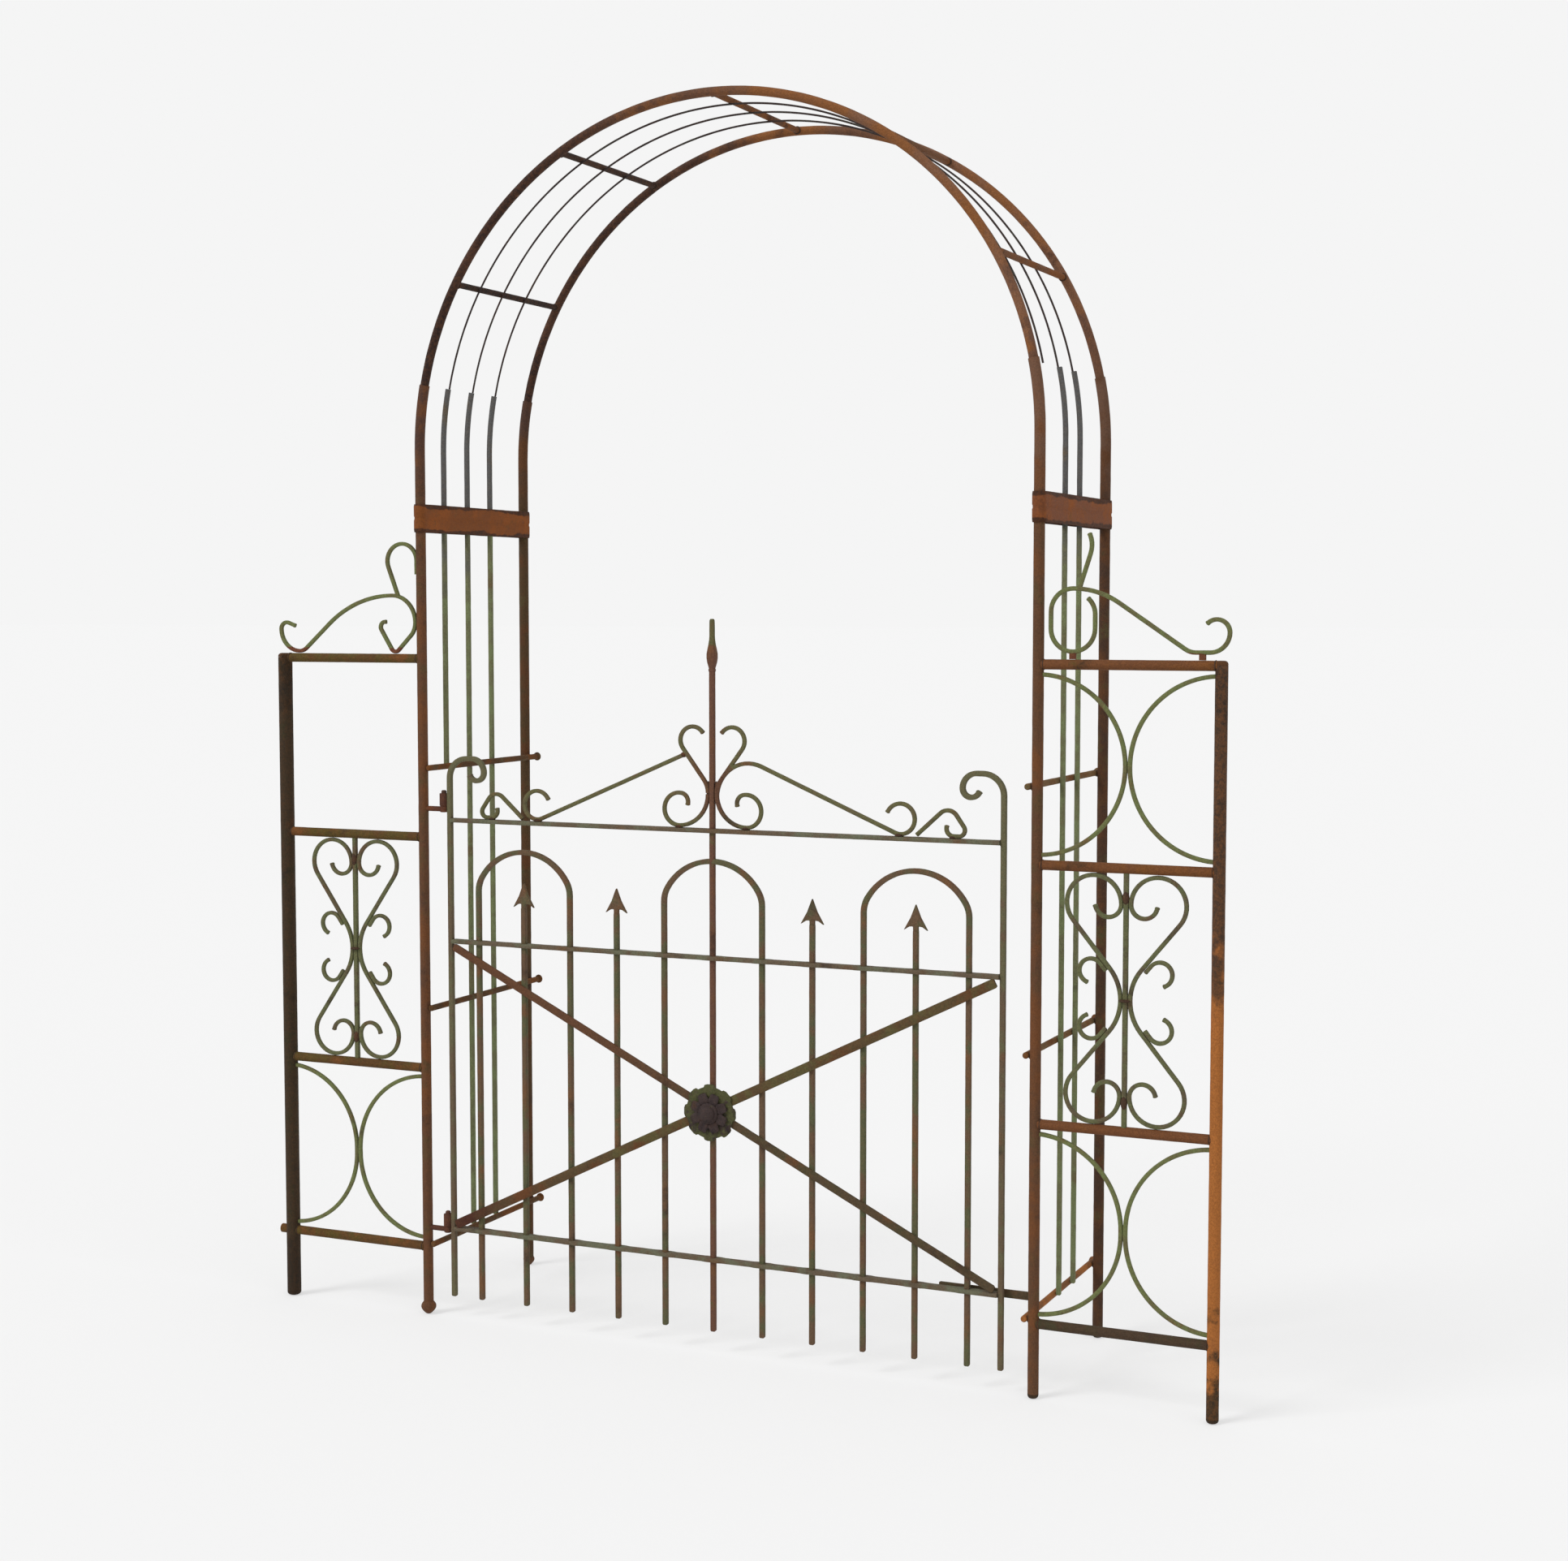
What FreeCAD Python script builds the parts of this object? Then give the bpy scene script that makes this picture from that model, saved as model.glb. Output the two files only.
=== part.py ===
import FreeCAD, Part
import math
import os

from FreeCAD import Vector

# Garden arch with a gate and two side wings.
# Lengths are millimetres. X runs to the right as seen from the front, Y to the back, Z up.
# The origin is on the ground, halfway between the legs in width and in depth.

os.makedirs("parts", exist_ok=True)

# Curves are drawn with straight stretches and round bars with flat sides
curve_error = 0.75
widest_bend = 24.0
bar_sides = 8
tube_sides = 12

# Arch: four legs and two hoops
leg_spacing = 1240.0
column_depth = 386.0
leg_diameter = 20.0
leg_wall = 1.5
spring_height = 1676.0
leg_curve_angle = 11.5
socket_clearance = 0.1
socket_angle = 5.5

# Rungs and wires over the arch
arch_rung_diameter = 12.0
arch_rung_step = 30.0
arch_rung_count = 5
wire_thickness = 4.0

# Columns: trellis rods, rungs and strap bands
front_rod_setback = 75.0
middle_rod_setback = 160.0
back_rod_setback = 245.0
rod_stock = 9.0
rung_diameter = 12.0
upper_rung_height = 1070.0
middle_rung_height = 604.0
lower_rung_height = 140.0
rung_front_overhang = 8.0
rung_back_overhang = 22.0
knob_diameter = 18.0
knob_length = 14.0
band_height = 1548.0
band_width = 54.0
band_thickness = 3.0
band_groove_width = 4.0
band_groove_depth = 1.0

# Feet and tube plugs
front_ball_diameter = 30.0
back_ball_diameter = 24.0
foot_flat_diameter = 10.0
ball_rings = 5
plug_clearance = 0.1
plug_spigot_length = 18.0
plug_head_length = 8.0
plug_edge = 4.0

# Wings
wing_width = 318.0
left_wing_post_diameter = 28.0
right_wing_post_diameter = 22.0
wing_post_wall = 2.0
wing_rail_diameter = 18.0
wing_top_rail_height = 1280.0
wing_upper_rail_height = 936.0
wing_lower_rail_height = 485.0
wing_bottom_rail_height = 133.0
wing_rail_overhang = 12.0
wing_rod_stock = 9.0

# Square stock of the scrollwork
scroll_stock = 8.0
left_wing_heart_radius = 44.0
right_wing_heart_radius = 48.0
wing_heart_inner_radius = 23.0
wing_heart_inner_sweep = 165.0
wing_waist_share = 0.517
wing_arc_clearance = 4.0
wing_hook_radius = 21.0
wing_hook_sweep = 205.0
wing_hook_lap = 16.0

# Crests of the wings: a long bar stands on the top rail, climbs to the leg and bends down there
left_crest_rise = 108.0
left_crest_foot_setback = 35.0
left_crest_foot_radius = 25.0
left_crest_slope = 41.0
left_crest_turn_radius = 52.0
left_crest_heel_radius = 35.0
left_crest_heel_turn = 45.0
left_crest_point_radius = 10.0
left_crest_point_turn = 103.0
left_crest_return_length = 44.0
left_crest_tip_radius = 10.0
left_crest_tip_turn = 120.0
left_crest_curl_radius = 43.0
left_crest_curl_tip_radius = 13.0
left_crest_curl_tip_turn = 110.0
left_crest_curl_tip_length = 14.0
crest_loop_radius = 33.0
crest_loop_rise = 187.0
crest_loop_lean = 21.0
right_crest_rise = 107.0
right_crest_lift = 9.0
right_crest_pad_width = 12.0
right_crest_pad_depth = 6.0
right_crest_foot_setback = 20.0
right_crest_flat_length = 25.0
right_crest_foot_radius = 30.0
right_crest_slope = 34.0
right_crest_leg_gap = 8.0
right_crest_ring_radius = 39.0
right_crest_ring_return = 24.0
right_crest_ring_tip_radius = 36.0
right_crest_ring_tip_turn = 45.0
right_crest_curl_radius = 33.0
right_crest_curl_tip_radius = 22.0
right_crest_curl_tip_turn = 130.0
crest_tail_setback = 11.0
crest_tail_lean = 18.0
crest_tail_length = 62.0
crest_tail_tip_radius = 45.0
crest_tail_tip_turn = 40.0

# Gate frame
gate_half_width = 560.0
gate_bar_stock = 10.0
gate_bar_pitch = 99.5
gate_bar_foot = 41.0
gate_bar_foot_taper = 2.0
gate_top_rail_height = 971.0
gate_middle_rail_height = 737.0
gate_bottom_rail_height = 176.0
gate_rail_thickness = 8.0
gate_hole_clearance = 0.15
gate_hoop_drop = 51.0
gate_hoop_shoulder_radius = 50.0
gate_hoop_rise = 78.0
stile_bend_rise = 81.0
stile_curl_radius = 38.0
stile_curl_flat = 12.0
stile_curl_middle_radius = 26.0
stile_curl_tip_radius = 16.0
stile_curl_tip_sweep = 150.0

# Spears and finial
spear_tip_drop = 114.0
spear_length = 54.0
spear_half_width = 23.0
spear_thickness = 8.0
spear_neck_half_width = 5.0
spear_under_half_width = 12.65
spear_blade_half_width = 9.66
# heights above the neck, as shares of the spear's length
spear_barb_share = 0.12
spear_under_share = 0.24
spear_notch_share = 0.26
spear_blade_share = 0.55
finial_tip_rise = 386.0
finial_length = 96.0
finial_width = 20.0
finial_collar_width = 16.0
finial_tip_width = 6.0
# heights above the collar's foot, as shares of the finial's length
finial_collar_share = 0.06
finial_belly_share = 0.3
finial_neck_share = 0.64

# Braces and rosette
rising_brace_width = 18.0
falling_brace_width = 15.0
brace_thickness = 6.0
rosette_height = 453.0
rosette_diameter = 106.0
rosette_petals = 8
rosette_petal_sides = 5
rosette_upper_share = 0.72
rosette_thickness = 6.0
rosette_boss_diameter = 40.0
rosette_boss_height = 12.0
rosette_boss_shoulder_diameter = 32.0
rosette_boss_shoulder_height = 7.8
rosette_boss_top_diameter = 16.0

# Crest of the gate
pediment_shoulder_radius = 64.0
pediment_curl_radius = 27.0
pediment_curl_centre = 368.0
pediment_curl_sweep = 240.0
left_pediment_reach = 60.0
left_pediment_rise = 137.0
heart_root_rise = 69.0
heart_root_radius = 40.0
heart_lean = 37.0
heart_side_length = 71.0
heart_radius = 25.0
heart_sweep = 140.0
lower_curl_centre = 68.0
lower_curl_radius = 30.0
lower_curl_sweep = 190.0
lower_curl_tip_radius = 16.0
lower_curl_tip_sweep = 90.0
end_scroll_foot = 399.0
end_scroll_rise = 45.0
end_scroll_lean = 42.0
end_scroll_top_radius = 20.0
end_scroll_fall = 55.0
end_scroll_bottom_radius = 11.0
end_scroll_bottom_length = 10.0
end_scroll_tip_radius = 13.0
end_scroll_tip_sweep = 100.0

# Hinges and stop
hinge_pin_diameter = 10.0
hinge_running_clearance = 0.1
hinge_eye_wall = 3.5
hinge_eye_length = 24.0
hinge_seat_gap = 0.3
hinge_arm_diameter = 10.0
hinge_collar_lip = 1.0
hinge_collar_shortfall = 0.5
hinge_pin_stand_up = 6.0
upper_hinge_rise = 39.0
lower_hinge_height = 190.0
stop_gap = 0.3
stop_bar_width = 15.0
stop_bar_thickness = 6.0
stop_bar_lap = 120.0
stop_bar_shortfall = 4.0

# Places that follow from the sizes
leg_x = leg_spacing / 2
front_y = -column_depth / 2
back_y = column_depth / 2
hoop_radius = leg_spacing / 2
leg_radius = leg_diameter / 2
leg_bore_radius = leg_radius - leg_wall
hoop_bar_radius = leg_bore_radius - socket_clearance
half_scroll = scroll_stock / 2
half_bar = gate_bar_stock / 2
rung_x = leg_x - leg_radius - rung_diameter / 2
rod_x = rung_x + rung_diameter / 2 + rod_stock / 2
wing_post_x = leg_x + wing_width
wing_mid_x = leg_x + wing_width / 2
wing_post_height = wing_top_rail_height + wing_rail_diameter / 2
gate_rail_depth = 2 * (leg_radius + stop_gap)
gate_hoop_top = gate_top_rail_height - gate_hoop_drop
spear_tip_height = gate_top_rail_height - spear_tip_drop
finial_tip_height = gate_top_rail_height + finial_tip_rise
stile_bend_height = gate_top_rail_height + stile_bend_rise
heart_root_height = gate_top_rail_height + heart_root_rise
left_pediment_height = gate_top_rail_height + left_pediment_rise
upper_hinge_height = gate_top_rail_height + upper_hinge_rise
crest_rest = wing_top_rail_height + wing_rail_diameter / 2 + half_scroll
crest_loop_height = wing_top_rail_height + crest_loop_rise
hinge_x = -(gate_half_width + half_bar + hinge_pin_diameter / 2 + hinge_running_clearance / 2
            + hinge_eye_wall)


# Basic solids

def cylinder(start, end, radius):
    direction = end - start
    return Part.makeCylinder(radius, direction.Length, start, direction)


def tube(start, end, radius, bore_radius):
    return cylinder(start, end, radius).cut(cylinder(start, end, bore_radius))


def box(x_range, y_range, z_range):
    corner = Vector(x_range[0], y_range[0], z_range[0])
    return Part.makeBox(x_range[1] - x_range[0], y_range[1] - y_range[0], z_range[1] - z_range[0],
                        corner)


def mirrored(shape):
    return shape.mirror(Vector(0, 0, 0), Vector(1, 0, 0))


def flipped(shape, height):
    return shape.mirror(Vector(0, 0, height), Vector(0, 0, 1))


def ring_of_corners(centre, radius, sides):
    corners = []
    for index in range(sides):
        angle = 2 * math.pi * index / sides
        corners.append(centre + Vector(radius * math.cos(angle), radius * math.sin(angle), 0))
    return corners


def flat_face(corners):
    return Part.Face(Part.makePolygon(corners + corners[:1]))


def stacked(rings):
    # a solid with flat sides between neighbouring rings of corners
    faces = [flat_face(rings[0]), flat_face(rings[-1])]
    for low, high in zip(rings, rings[1:]):
        for index in range(len(low)):
            after = (index + 1) % len(low)
            faces.append(flat_face([low[index], low[after], high[after], high[index]]))
    shell = Part.makeShell(faces)
    shell.sewShape()
    solid = Part.makeSolid(shell)
    if solid.Volume < 0:
        solid.reverse()
    return solid


def turned(profile, x, y, sides):
    # profile is a list of (radius, height) from end to end; the sides' corners lie on the round
    return stacked([ring_of_corners(Vector(x, y, height), radius, sides)
                    for radius, height in profile])


def round_bar(start, end, radius, sides=bar_sides):
    # a straight bar along X, Y or Z with flat sides, whose corners lie on the round
    along = end - start
    bar = turned([(radius, 0), (radius, along.Length)], 0, 0, sides)
    bar.Placement = FreeCAD.Placement(start, FreeCAD.Rotation(Vector(0, 0, 1), along))
    return bar


def upright_space(x, y, radius, low, high):
    # an upright prism whose flat sides touch a round leg or post from outside
    outside = radius / math.cos(math.pi / tube_sides)
    return turned([(outside, low), (outside, high)], x, y, tube_sides)


def write(name, solids):
    shape = Part.makeCompound(solids) if len(solids) > 1 else solids[0]
    shape.exportStep("parts/" + name + ".step")
    print(name, len(shape.Solids), "solid(s)", round(shape.Volume / 1000.0, 1), "cm3",
          "valid" if shape.isValid() else "NOT VALID")


# A bar bent in an upright plane: a pen moves over X and Z and draws straight and curved runs

class BentBar:
    def __init__(self, x, z, heading):
        self.x = x
        self.z = z
        self.heading = heading
        self.left = []
        self.right = []

    def mark(self, half_width):
        self.left.append(self.side(half_width))
        self.right.append(self.side(-half_width))

    def side(self, offset):
        # the point to the left of the pen, or to the right where offset is negative
        angle = math.radians(self.heading + 90)
        return Vector(self.x + offset * math.cos(angle), 0, self.z + offset * math.sin(angle))

    def line(self, length, half_width):
        self.x += length * math.cos(math.radians(self.heading))
        self.z += length * math.sin(math.radians(self.heading))
        self.mark(half_width)

    def arc(self, radius, turn, half_width):
        # a positive turn bends to the left
        centre = self.side(math.copysign(radius, turn))
        count = stretches(radius, turn)
        for _ in range(count):
            self.swing(centre, turn / count)
            self.mark(half_width)

    def swing(self, centre, turn):
        angle = math.radians(turn)
        dx = self.x - centre.x
        dz = self.z - centre.z
        self.x = centre.x + dx * math.cos(angle) - dz * math.sin(angle)
        self.z = centre.z + dx * math.sin(angle) + dz * math.cos(angle)
        self.heading += turn


def stretches(radius, turn):
    # how many straight stretches keep a curve within the allowed error
    step = 2 * math.degrees(math.acos(1 - curve_error / radius))
    return math.ceil(abs(turn) / min(step, widest_bend))


def bent_bar(start, heading, bends, stock, y, depth=None, blunt_tip=True):
    # bends holds ("line", length) and ("arc", radius, turn); the bar is centred on y
    depth = depth or stock
    half = stock / 2
    pen = BentBar(start[0], start[1], heading)
    pen.mark(half)
    for bend in bends:
        if bend[0] == "arc":
            pen.arc(bend[1], bend[2], half)
        elif bend[1] > 0:
            pen.line(bend[1], half)
    if blunt_tip:
        # the tip is drawn in to half the width
        pen.line(half, half / 2)
    face = flat_face(pen.left + pen.right[::-1])
    face.translate(Vector(0, y - depth / 2, 0))
    return face.extrude(Vector(0, depth, 0))


# Hoops and legs

def on_arch(angle, y, radius=hoop_radius):
    return Vector(radius * math.cos(math.radians(angle)), y,
                  spring_height + radius * math.sin(math.radians(angle)))


def hoop(y):
    # the first and the last stretch of the bar are plugged into the legs
    count = stretches(hoop_radius, 180 - 2 * leg_curve_angle)
    step = (180 - 2 * leg_curve_angle) / count
    angles = [leg_curve_angle + step * index for index in range(count + 1)]
    angles = [leg_curve_angle - socket_angle] + angles + [180 - leg_curve_angle + socket_angle]
    centre = Vector(0, y, spring_height)
    rings = []
    for angle in angles:
        section = Part.makePolygon(ring_of_corners(on_arch(0, y), hoop_bar_radius, bar_sides))
        section.rotate(centre, Vector(0, -1, 0), angle)
        rings.append([vertex.Point for vertex in section.Vertexes])
    return stacked(rings)


def leg(y, foot_height):
    # the top of a leg follows the arch in two stretches, and the upper one is the socket
    mitred = 1
    route = [Vector(leg_x, y, foot_height), on_arch(0, y),
             on_arch(leg_curve_angle - socket_angle, y), on_arch(leg_curve_angle, y)]
    path = Part.makePolygon(route)
    circle = Part.Wire(Part.makeCircle(leg_radius, route[0], Vector(0, 0, 1)))
    outside = leg_bore_radius / math.cos(math.pi / tube_sides)
    corners = ring_of_corners(route[0], outside, tube_sides)
    bore = Part.makePolygon(corners + corners[:1])
    solid = path.makePipeShell([circle], True, False, mitred)
    return solid.cut(path.makePipeShell([bore], True, False, mitred))


def ball_foot(x, y, diameter):
    radius = diameter / 2
    centre_height = math.sqrt(radius ** 2 - (foot_flat_diameter / 2) ** 2)
    profile = []
    first = math.asin(centre_height / radius)
    for index in range(ball_rings + 1):
        angle = first * (2 * index / ball_rings - 1)
        profile.append((radius * math.cos(angle), centre_height + radius * math.sin(angle)))
    return turned(profile, x, y, tube_sides)


def plug(x, y, height, up, tube_radius, bore_radius):
    # a plug with a bevelled head: height is where its head meets the tube, up is -1 for a foot
    spigot = bore_radius - plug_clearance
    profile = [(spigot, -plug_spigot_length), (spigot, 0),
               (tube_radius, 0), (tube_radius, plug_head_length - plug_edge),
               (tube_radius - plug_edge, plug_head_length)]
    return turned([(reach, height + up * rise) for reach, rise in profile], x, y, bar_sides)


front_hoop = hoop(front_y)
back_hoop = hoop(back_y)
left_front_ball = ball_foot(-leg_x, front_y, front_ball_diameter)
left_back_ball = ball_foot(-leg_x, back_y, back_ball_diameter)
left_front_leg = mirrored(leg(front_y, front_ball_diameter / 2)).cut(left_front_ball)
left_back_leg = mirrored(leg(back_y, back_ball_diameter / 2)).cut(left_back_ball)

write("left_front_leg", [left_front_leg.Solids[0]])
write("left_back_leg", [left_back_leg.Solids[0]])
write("right_front_leg", [leg(front_y, plug_head_length)])
write("right_back_leg", [leg(back_y, plug_head_length)])
write("front_hoop", [front_hoop])
write("back_hoop", [back_hoop])
write("ball_feet", [left_front_ball, left_back_ball])


# Arch rungs and wires

def arch_rung(angle):
    x = hoop_radius * math.sin(math.radians(angle))
    z = spring_height + hoop_radius * math.cos(math.radians(angle))
    rung = round_bar(Vector(x, front_y, z), Vector(x, back_y, z), arch_rung_diameter / 2)
    return rung.cut(front_hoop).cut(back_hoop)


def arch_wire(y):
    # the wire runs under the rungs and stands on the tops of two trellis rods
    radius = hoop_radius - arch_rung_diameter / 2 - wire_thickness / 2
    bends = [("arc", radius, 180 - 2 * leg_curve_angle)]
    foot = on_arch(leg_curve_angle, y, radius)
    return bent_bar((foot.x, foot.z), 90 + leg_curve_angle, bends, wire_thickness, y,
                    blunt_tip=False)


arch_rungs = []
for index in range(arch_rung_count):
    arch_rungs.append(arch_rung((index - (arch_rung_count - 1) / 2) * arch_rung_step))
write("arch_rungs", arch_rungs)
write("front_arch_wire", [arch_wire(front_y + front_rod_setback)])
write("middle_arch_wire", [arch_wire(front_y + middle_rod_setback)])
write("back_arch_wire", [arch_wire(front_y + back_rod_setback)])


# Columns

def trellis_rod(setback, foot_height):
    # a rod stands on the outer side of the rungs and its top follows the arch
    bends = [("line", spring_height - foot_height), ("arc", rod_x, leg_curve_angle)]
    return bent_bar((rod_x, foot_height), 90, bends, rod_stock, front_y + setback,
                    blunt_tip=False)


def column_rung(height):
    # a rung lies on the inner side of both legs and ends in a knob behind the back leg
    front = front_y - rung_front_overhang
    back = back_y + rung_back_overhang
    thin = rung_diameter / 2
    thick = knob_diameter / 2
    profile = [(thin, front), (thin, back - knob_length / 2), (thick, back - knob_length / 4),
               (thick, back + knob_length / 4), (thin, back + knob_length / 2)]
    rung = turned(profile, 0, 0, bar_sides)
    rung.rotate(Vector(0, 0, 0), Vector(1, 0, 0), -90)
    rung.translate(Vector(rung_x, 0, height))
    return rung


def band():
    # a strap bent round both legs of a column, with a shallow groove along its middle
    def loop(radius):
        corners = []
        outside = radius / math.cos(math.pi / tube_sides)
        for index in range(tube_sides):
            angle = 2 * math.pi * (index + 0.5) / tube_sides
            y = back_y if angle < math.pi else front_y
            corners.append(Vector(leg_x + outside * math.cos(angle), y + outside * math.sin(angle), 0))
        return flat_face(corners)

    def ring(outer, inner, low, high):
        flat = loop(outer).cut(loop(inner))
        flat.translate(Vector(0, 0, low))
        return flat.extrude(Vector(0, 0, high - low))

    outer = leg_radius + band_thickness
    low = band_height - band_width / 2
    high = band_height + band_width / 2
    strap = ring(outer, leg_radius, low, high)
    groove = ring(outer, outer - band_groove_depth, band_height - band_groove_width / 2,
                  band_height + band_groove_width / 2)
    return strap.cut(groove)


trellis_rods = {"front": trellis_rod(front_rod_setback, upper_rung_height),
             "middle": trellis_rod(middle_rod_setback, lower_rung_height),
             "back": trellis_rod(back_rod_setback, lower_rung_height)}
for place in trellis_rods:
    write("left_" + place + "_trellis_rod", [mirrored(trellis_rods[place])])
for place in ("middle", "back"):
    write("right_" + place + "_trellis_rod", [trellis_rods[place]])
rung_heights = {"upper": upper_rung_height, "middle": middle_rung_height,
                "lower": lower_rung_height}
for place in rung_heights:
    write("left_" + place + "_rung", [mirrored(column_rung(rung_heights[place]))])
    write("right_" + place + "_rung", [column_rung(rung_heights[place])])
write("left_band", [mirrored(band())])
write("right_band", [band()])


# Wings

leg_space = upright_space(leg_x, front_y, leg_radius, 0, spring_height)


def post_space(radius):
    return upright_space(wing_post_x, front_y, radius, 0, spring_height)


def wing_post(radius):
    low = plug_head_length
    high = wing_post_height - plug_head_length
    post = cylinder(Vector(wing_post_x, front_y, low), Vector(wing_post_x, front_y, high), radius)
    return post.cut(upright_space(wing_post_x, front_y, radius - wing_post_wall, low, high))


def wing_rail(height, post_radius, overhang=0.0):
    # the rail is coped to the leg, and butts against the wing post or runs through it
    end = wing_post_x + post_radius + overhang if overhang else wing_post_x
    rail = round_bar(Vector(leg_x, front_y, height), Vector(end, front_y, height),
                     wing_rail_diameter / 2)
    return rail.cut(leg_space) if overhang else rail.cut([leg_space, post_space(post_radius)])


def wing_rod():
    low = wing_lower_rail_height + wing_rail_diameter / 2
    high = wing_upper_rail_height - wing_rail_diameter / 2
    half = wing_rod_stock / 2
    return box((wing_mid_x - half, wing_mid_x + half), (front_y - half, front_y + half), (low, high))


def half_circle_bars(high_rail, low_rail, post_radius):
    # two bows, on the leg and on the wing post, meet in the middle of the panel; a panel
    # higher or wider than a half circle gives them a straight run
    reach = wing_width / 2 - half_scroll
    room = (high_rail - low_rail - wing_rail_diameter) / 2 - half_scroll - wing_arc_clearance
    radius = min(reach, room)
    low = (high_rail + low_rail) / 2 - room

    def bow(foot_x, heading, turn):
        bends = [("line", reach - radius), ("arc", radius, turn), ("line", 2 * (room - radius)),
                 ("arc", radius, turn), ("line", reach - radius)]
        return bent_bar((foot_x, low), heading, bends, scroll_stock, front_y, blunt_tip=False)

    inner = bow(leg_x, 0, 90)
    outer = bow(wing_post_x, 180, -90)
    return [inner.cut(leg_space), outer.cut(post_space(post_radius))]


def wing_scrolls(heart_radius):
    # right half of one panel's scrollwork, from the waist upwards; the rest is mirrored
    middle = (wing_upper_rail_height + wing_lower_rail_height) / 2
    near = wing_rod_stock / 2 + half_scroll
    top = wing_upper_rail_height - wing_rail_diameter / 2 - half_scroll
    heart_centre = (near + heart_radius, top - heart_radius)
    waist_radius = wing_waist_share * (heart_centre[1] - middle)
    waist_centre = (near + waist_radius, middle)
    across = math.hypot(waist_centre[0] - heart_centre[0], heart_centre[1] - middle)
    straight = math.sqrt(across ** 2 - (heart_radius + waist_radius) ** 2)
    line_angle = math.degrees(math.atan2(heart_centre[1] - middle, heart_centre[0] - waist_centre[0]))
    lean = math.degrees(math.asin((heart_radius + waist_radius) / across))
    waist_turn = 90 - (line_angle - lean)
    bends = [("arc", waist_radius, -waist_turn), ("line", straight),
             ("arc", heart_radius, 180 + waist_turn),
             ("arc", wing_heart_inner_radius, wing_heart_inner_sweep)]
    start = (wing_mid_x + near, middle)
    upper = bent_bar(start, 90, bends, scroll_stock, front_y)
    lower = flipped(upper, middle)
    main = upper.fuse(lower).removeSplitter()

    # a hook lies along the outer side of the waist curve and bends away from it
    hook_start = math.radians(180 - waist_turn)
    hook_curve = waist_radius - scroll_stock
    hook_x = wing_mid_x + waist_centre[0] + hook_curve * math.cos(hook_start)
    hook_z = middle + hook_curve * math.sin(hook_start)
    hook_bends = [("line", wing_hook_lap), ("arc", wing_hook_radius, -wing_hook_sweep)]
    upper_hook = bent_bar((hook_x, hook_z), 90 - waist_turn, hook_bends, scroll_stock, front_y)
    upper_hook = upper_hook.cut(main)
    lower_hook = flipped(upper_hook, middle)
    one_side = [main, upper_hook.Solids[0], lower_hook.Solids[0]]
    other_side = []
    for solid in one_side:
        other_side.append(solid.mirror(Vector(wing_mid_x, 0, 0), Vector(1, 0, 0)))
    return one_side + other_side


def crest_bar(foot, top_x, rise, flat, foot_radius, slope, inner, outer):
    # from its foot the bar climbs at a slope to its top, and inner takes it down from there;
    # outer is the curl on the foot's other side
    run = foot[0] - flat - top_x
    lean = math.radians(slope)
    both = (run * math.sin(lean) - rise * math.cos(lean)) / (1 - math.cos(lean))
    straight = (rise - both * (1 - math.cos(lean))) / math.sin(lean)
    climb = [("line", flat), ("arc", foot_radius, -slope), ("line", straight),
             ("arc", both - foot_radius, slope)]
    long_side = bent_bar(foot, 180, climb + inner, scroll_stock, front_y)
    short_side = bent_bar(foot, 0, outer, scroll_stock, front_y)
    return long_side.fuse(short_side).removeSplitter()


def left_wing_crest():
    # drawn as for the right wing; the bar leans on the leg, and a loop bar stands on its top
    leg_face = leg_x + leg_radius
    top_x = leg_face + half_scroll + left_crest_turn_radius
    descent = 90 - left_crest_heel_turn
    point_drop = left_crest_point_radius * (1 - math.cos(math.radians(descent)))
    heel_drop = left_crest_heel_radius * math.sin(math.radians(left_crest_heel_turn))
    left_drop = left_crest_rise - left_crest_turn_radius - heel_drop - point_drop
    inner = [("arc", left_crest_turn_radius, 90),
             ("arc", left_crest_heel_radius, left_crest_heel_turn),
             ("line", left_drop / math.sin(math.radians(descent))),
             ("arc", left_crest_point_radius, left_crest_point_turn),
             ("line", left_crest_return_length),
             ("arc", left_crest_tip_radius, left_crest_tip_turn)]
    outer = [("arc", left_crest_curl_radius, 90),
             ("arc", left_crest_curl_tip_radius, left_crest_curl_tip_turn),
             ("line", left_crest_curl_tip_length)]
    foot = (wing_post_x - left_crest_foot_setback, crest_rest)
    long_bar = crest_bar(foot, top_x, left_crest_rise, 0, left_crest_foot_radius,
                         left_crest_slope, inner, outer)

    lean = math.radians(crest_loop_lean)
    meet_x = leg_face + crest_loop_radius * (1 + math.cos(lean))
    meet_z = crest_loop_height - crest_loop_radius * math.sin(lean)
    top = crest_rest + left_crest_rise
    length = (meet_z - top) / math.cos(lean)
    loop_bar = bent_bar((meet_x - length * math.sin(lean), top), 90 - crest_loop_lean,
                        [("line", length), ("arc", crest_loop_radius, 180 + crest_loop_lean)],
                        scroll_stock, front_y, blunt_tip=False)
    loop_bar = loop_bar.cut([leg_space, long_bar])
    return [long_bar, max(loop_bar.Solids, key=lambda solid: solid.Volume)]


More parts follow.
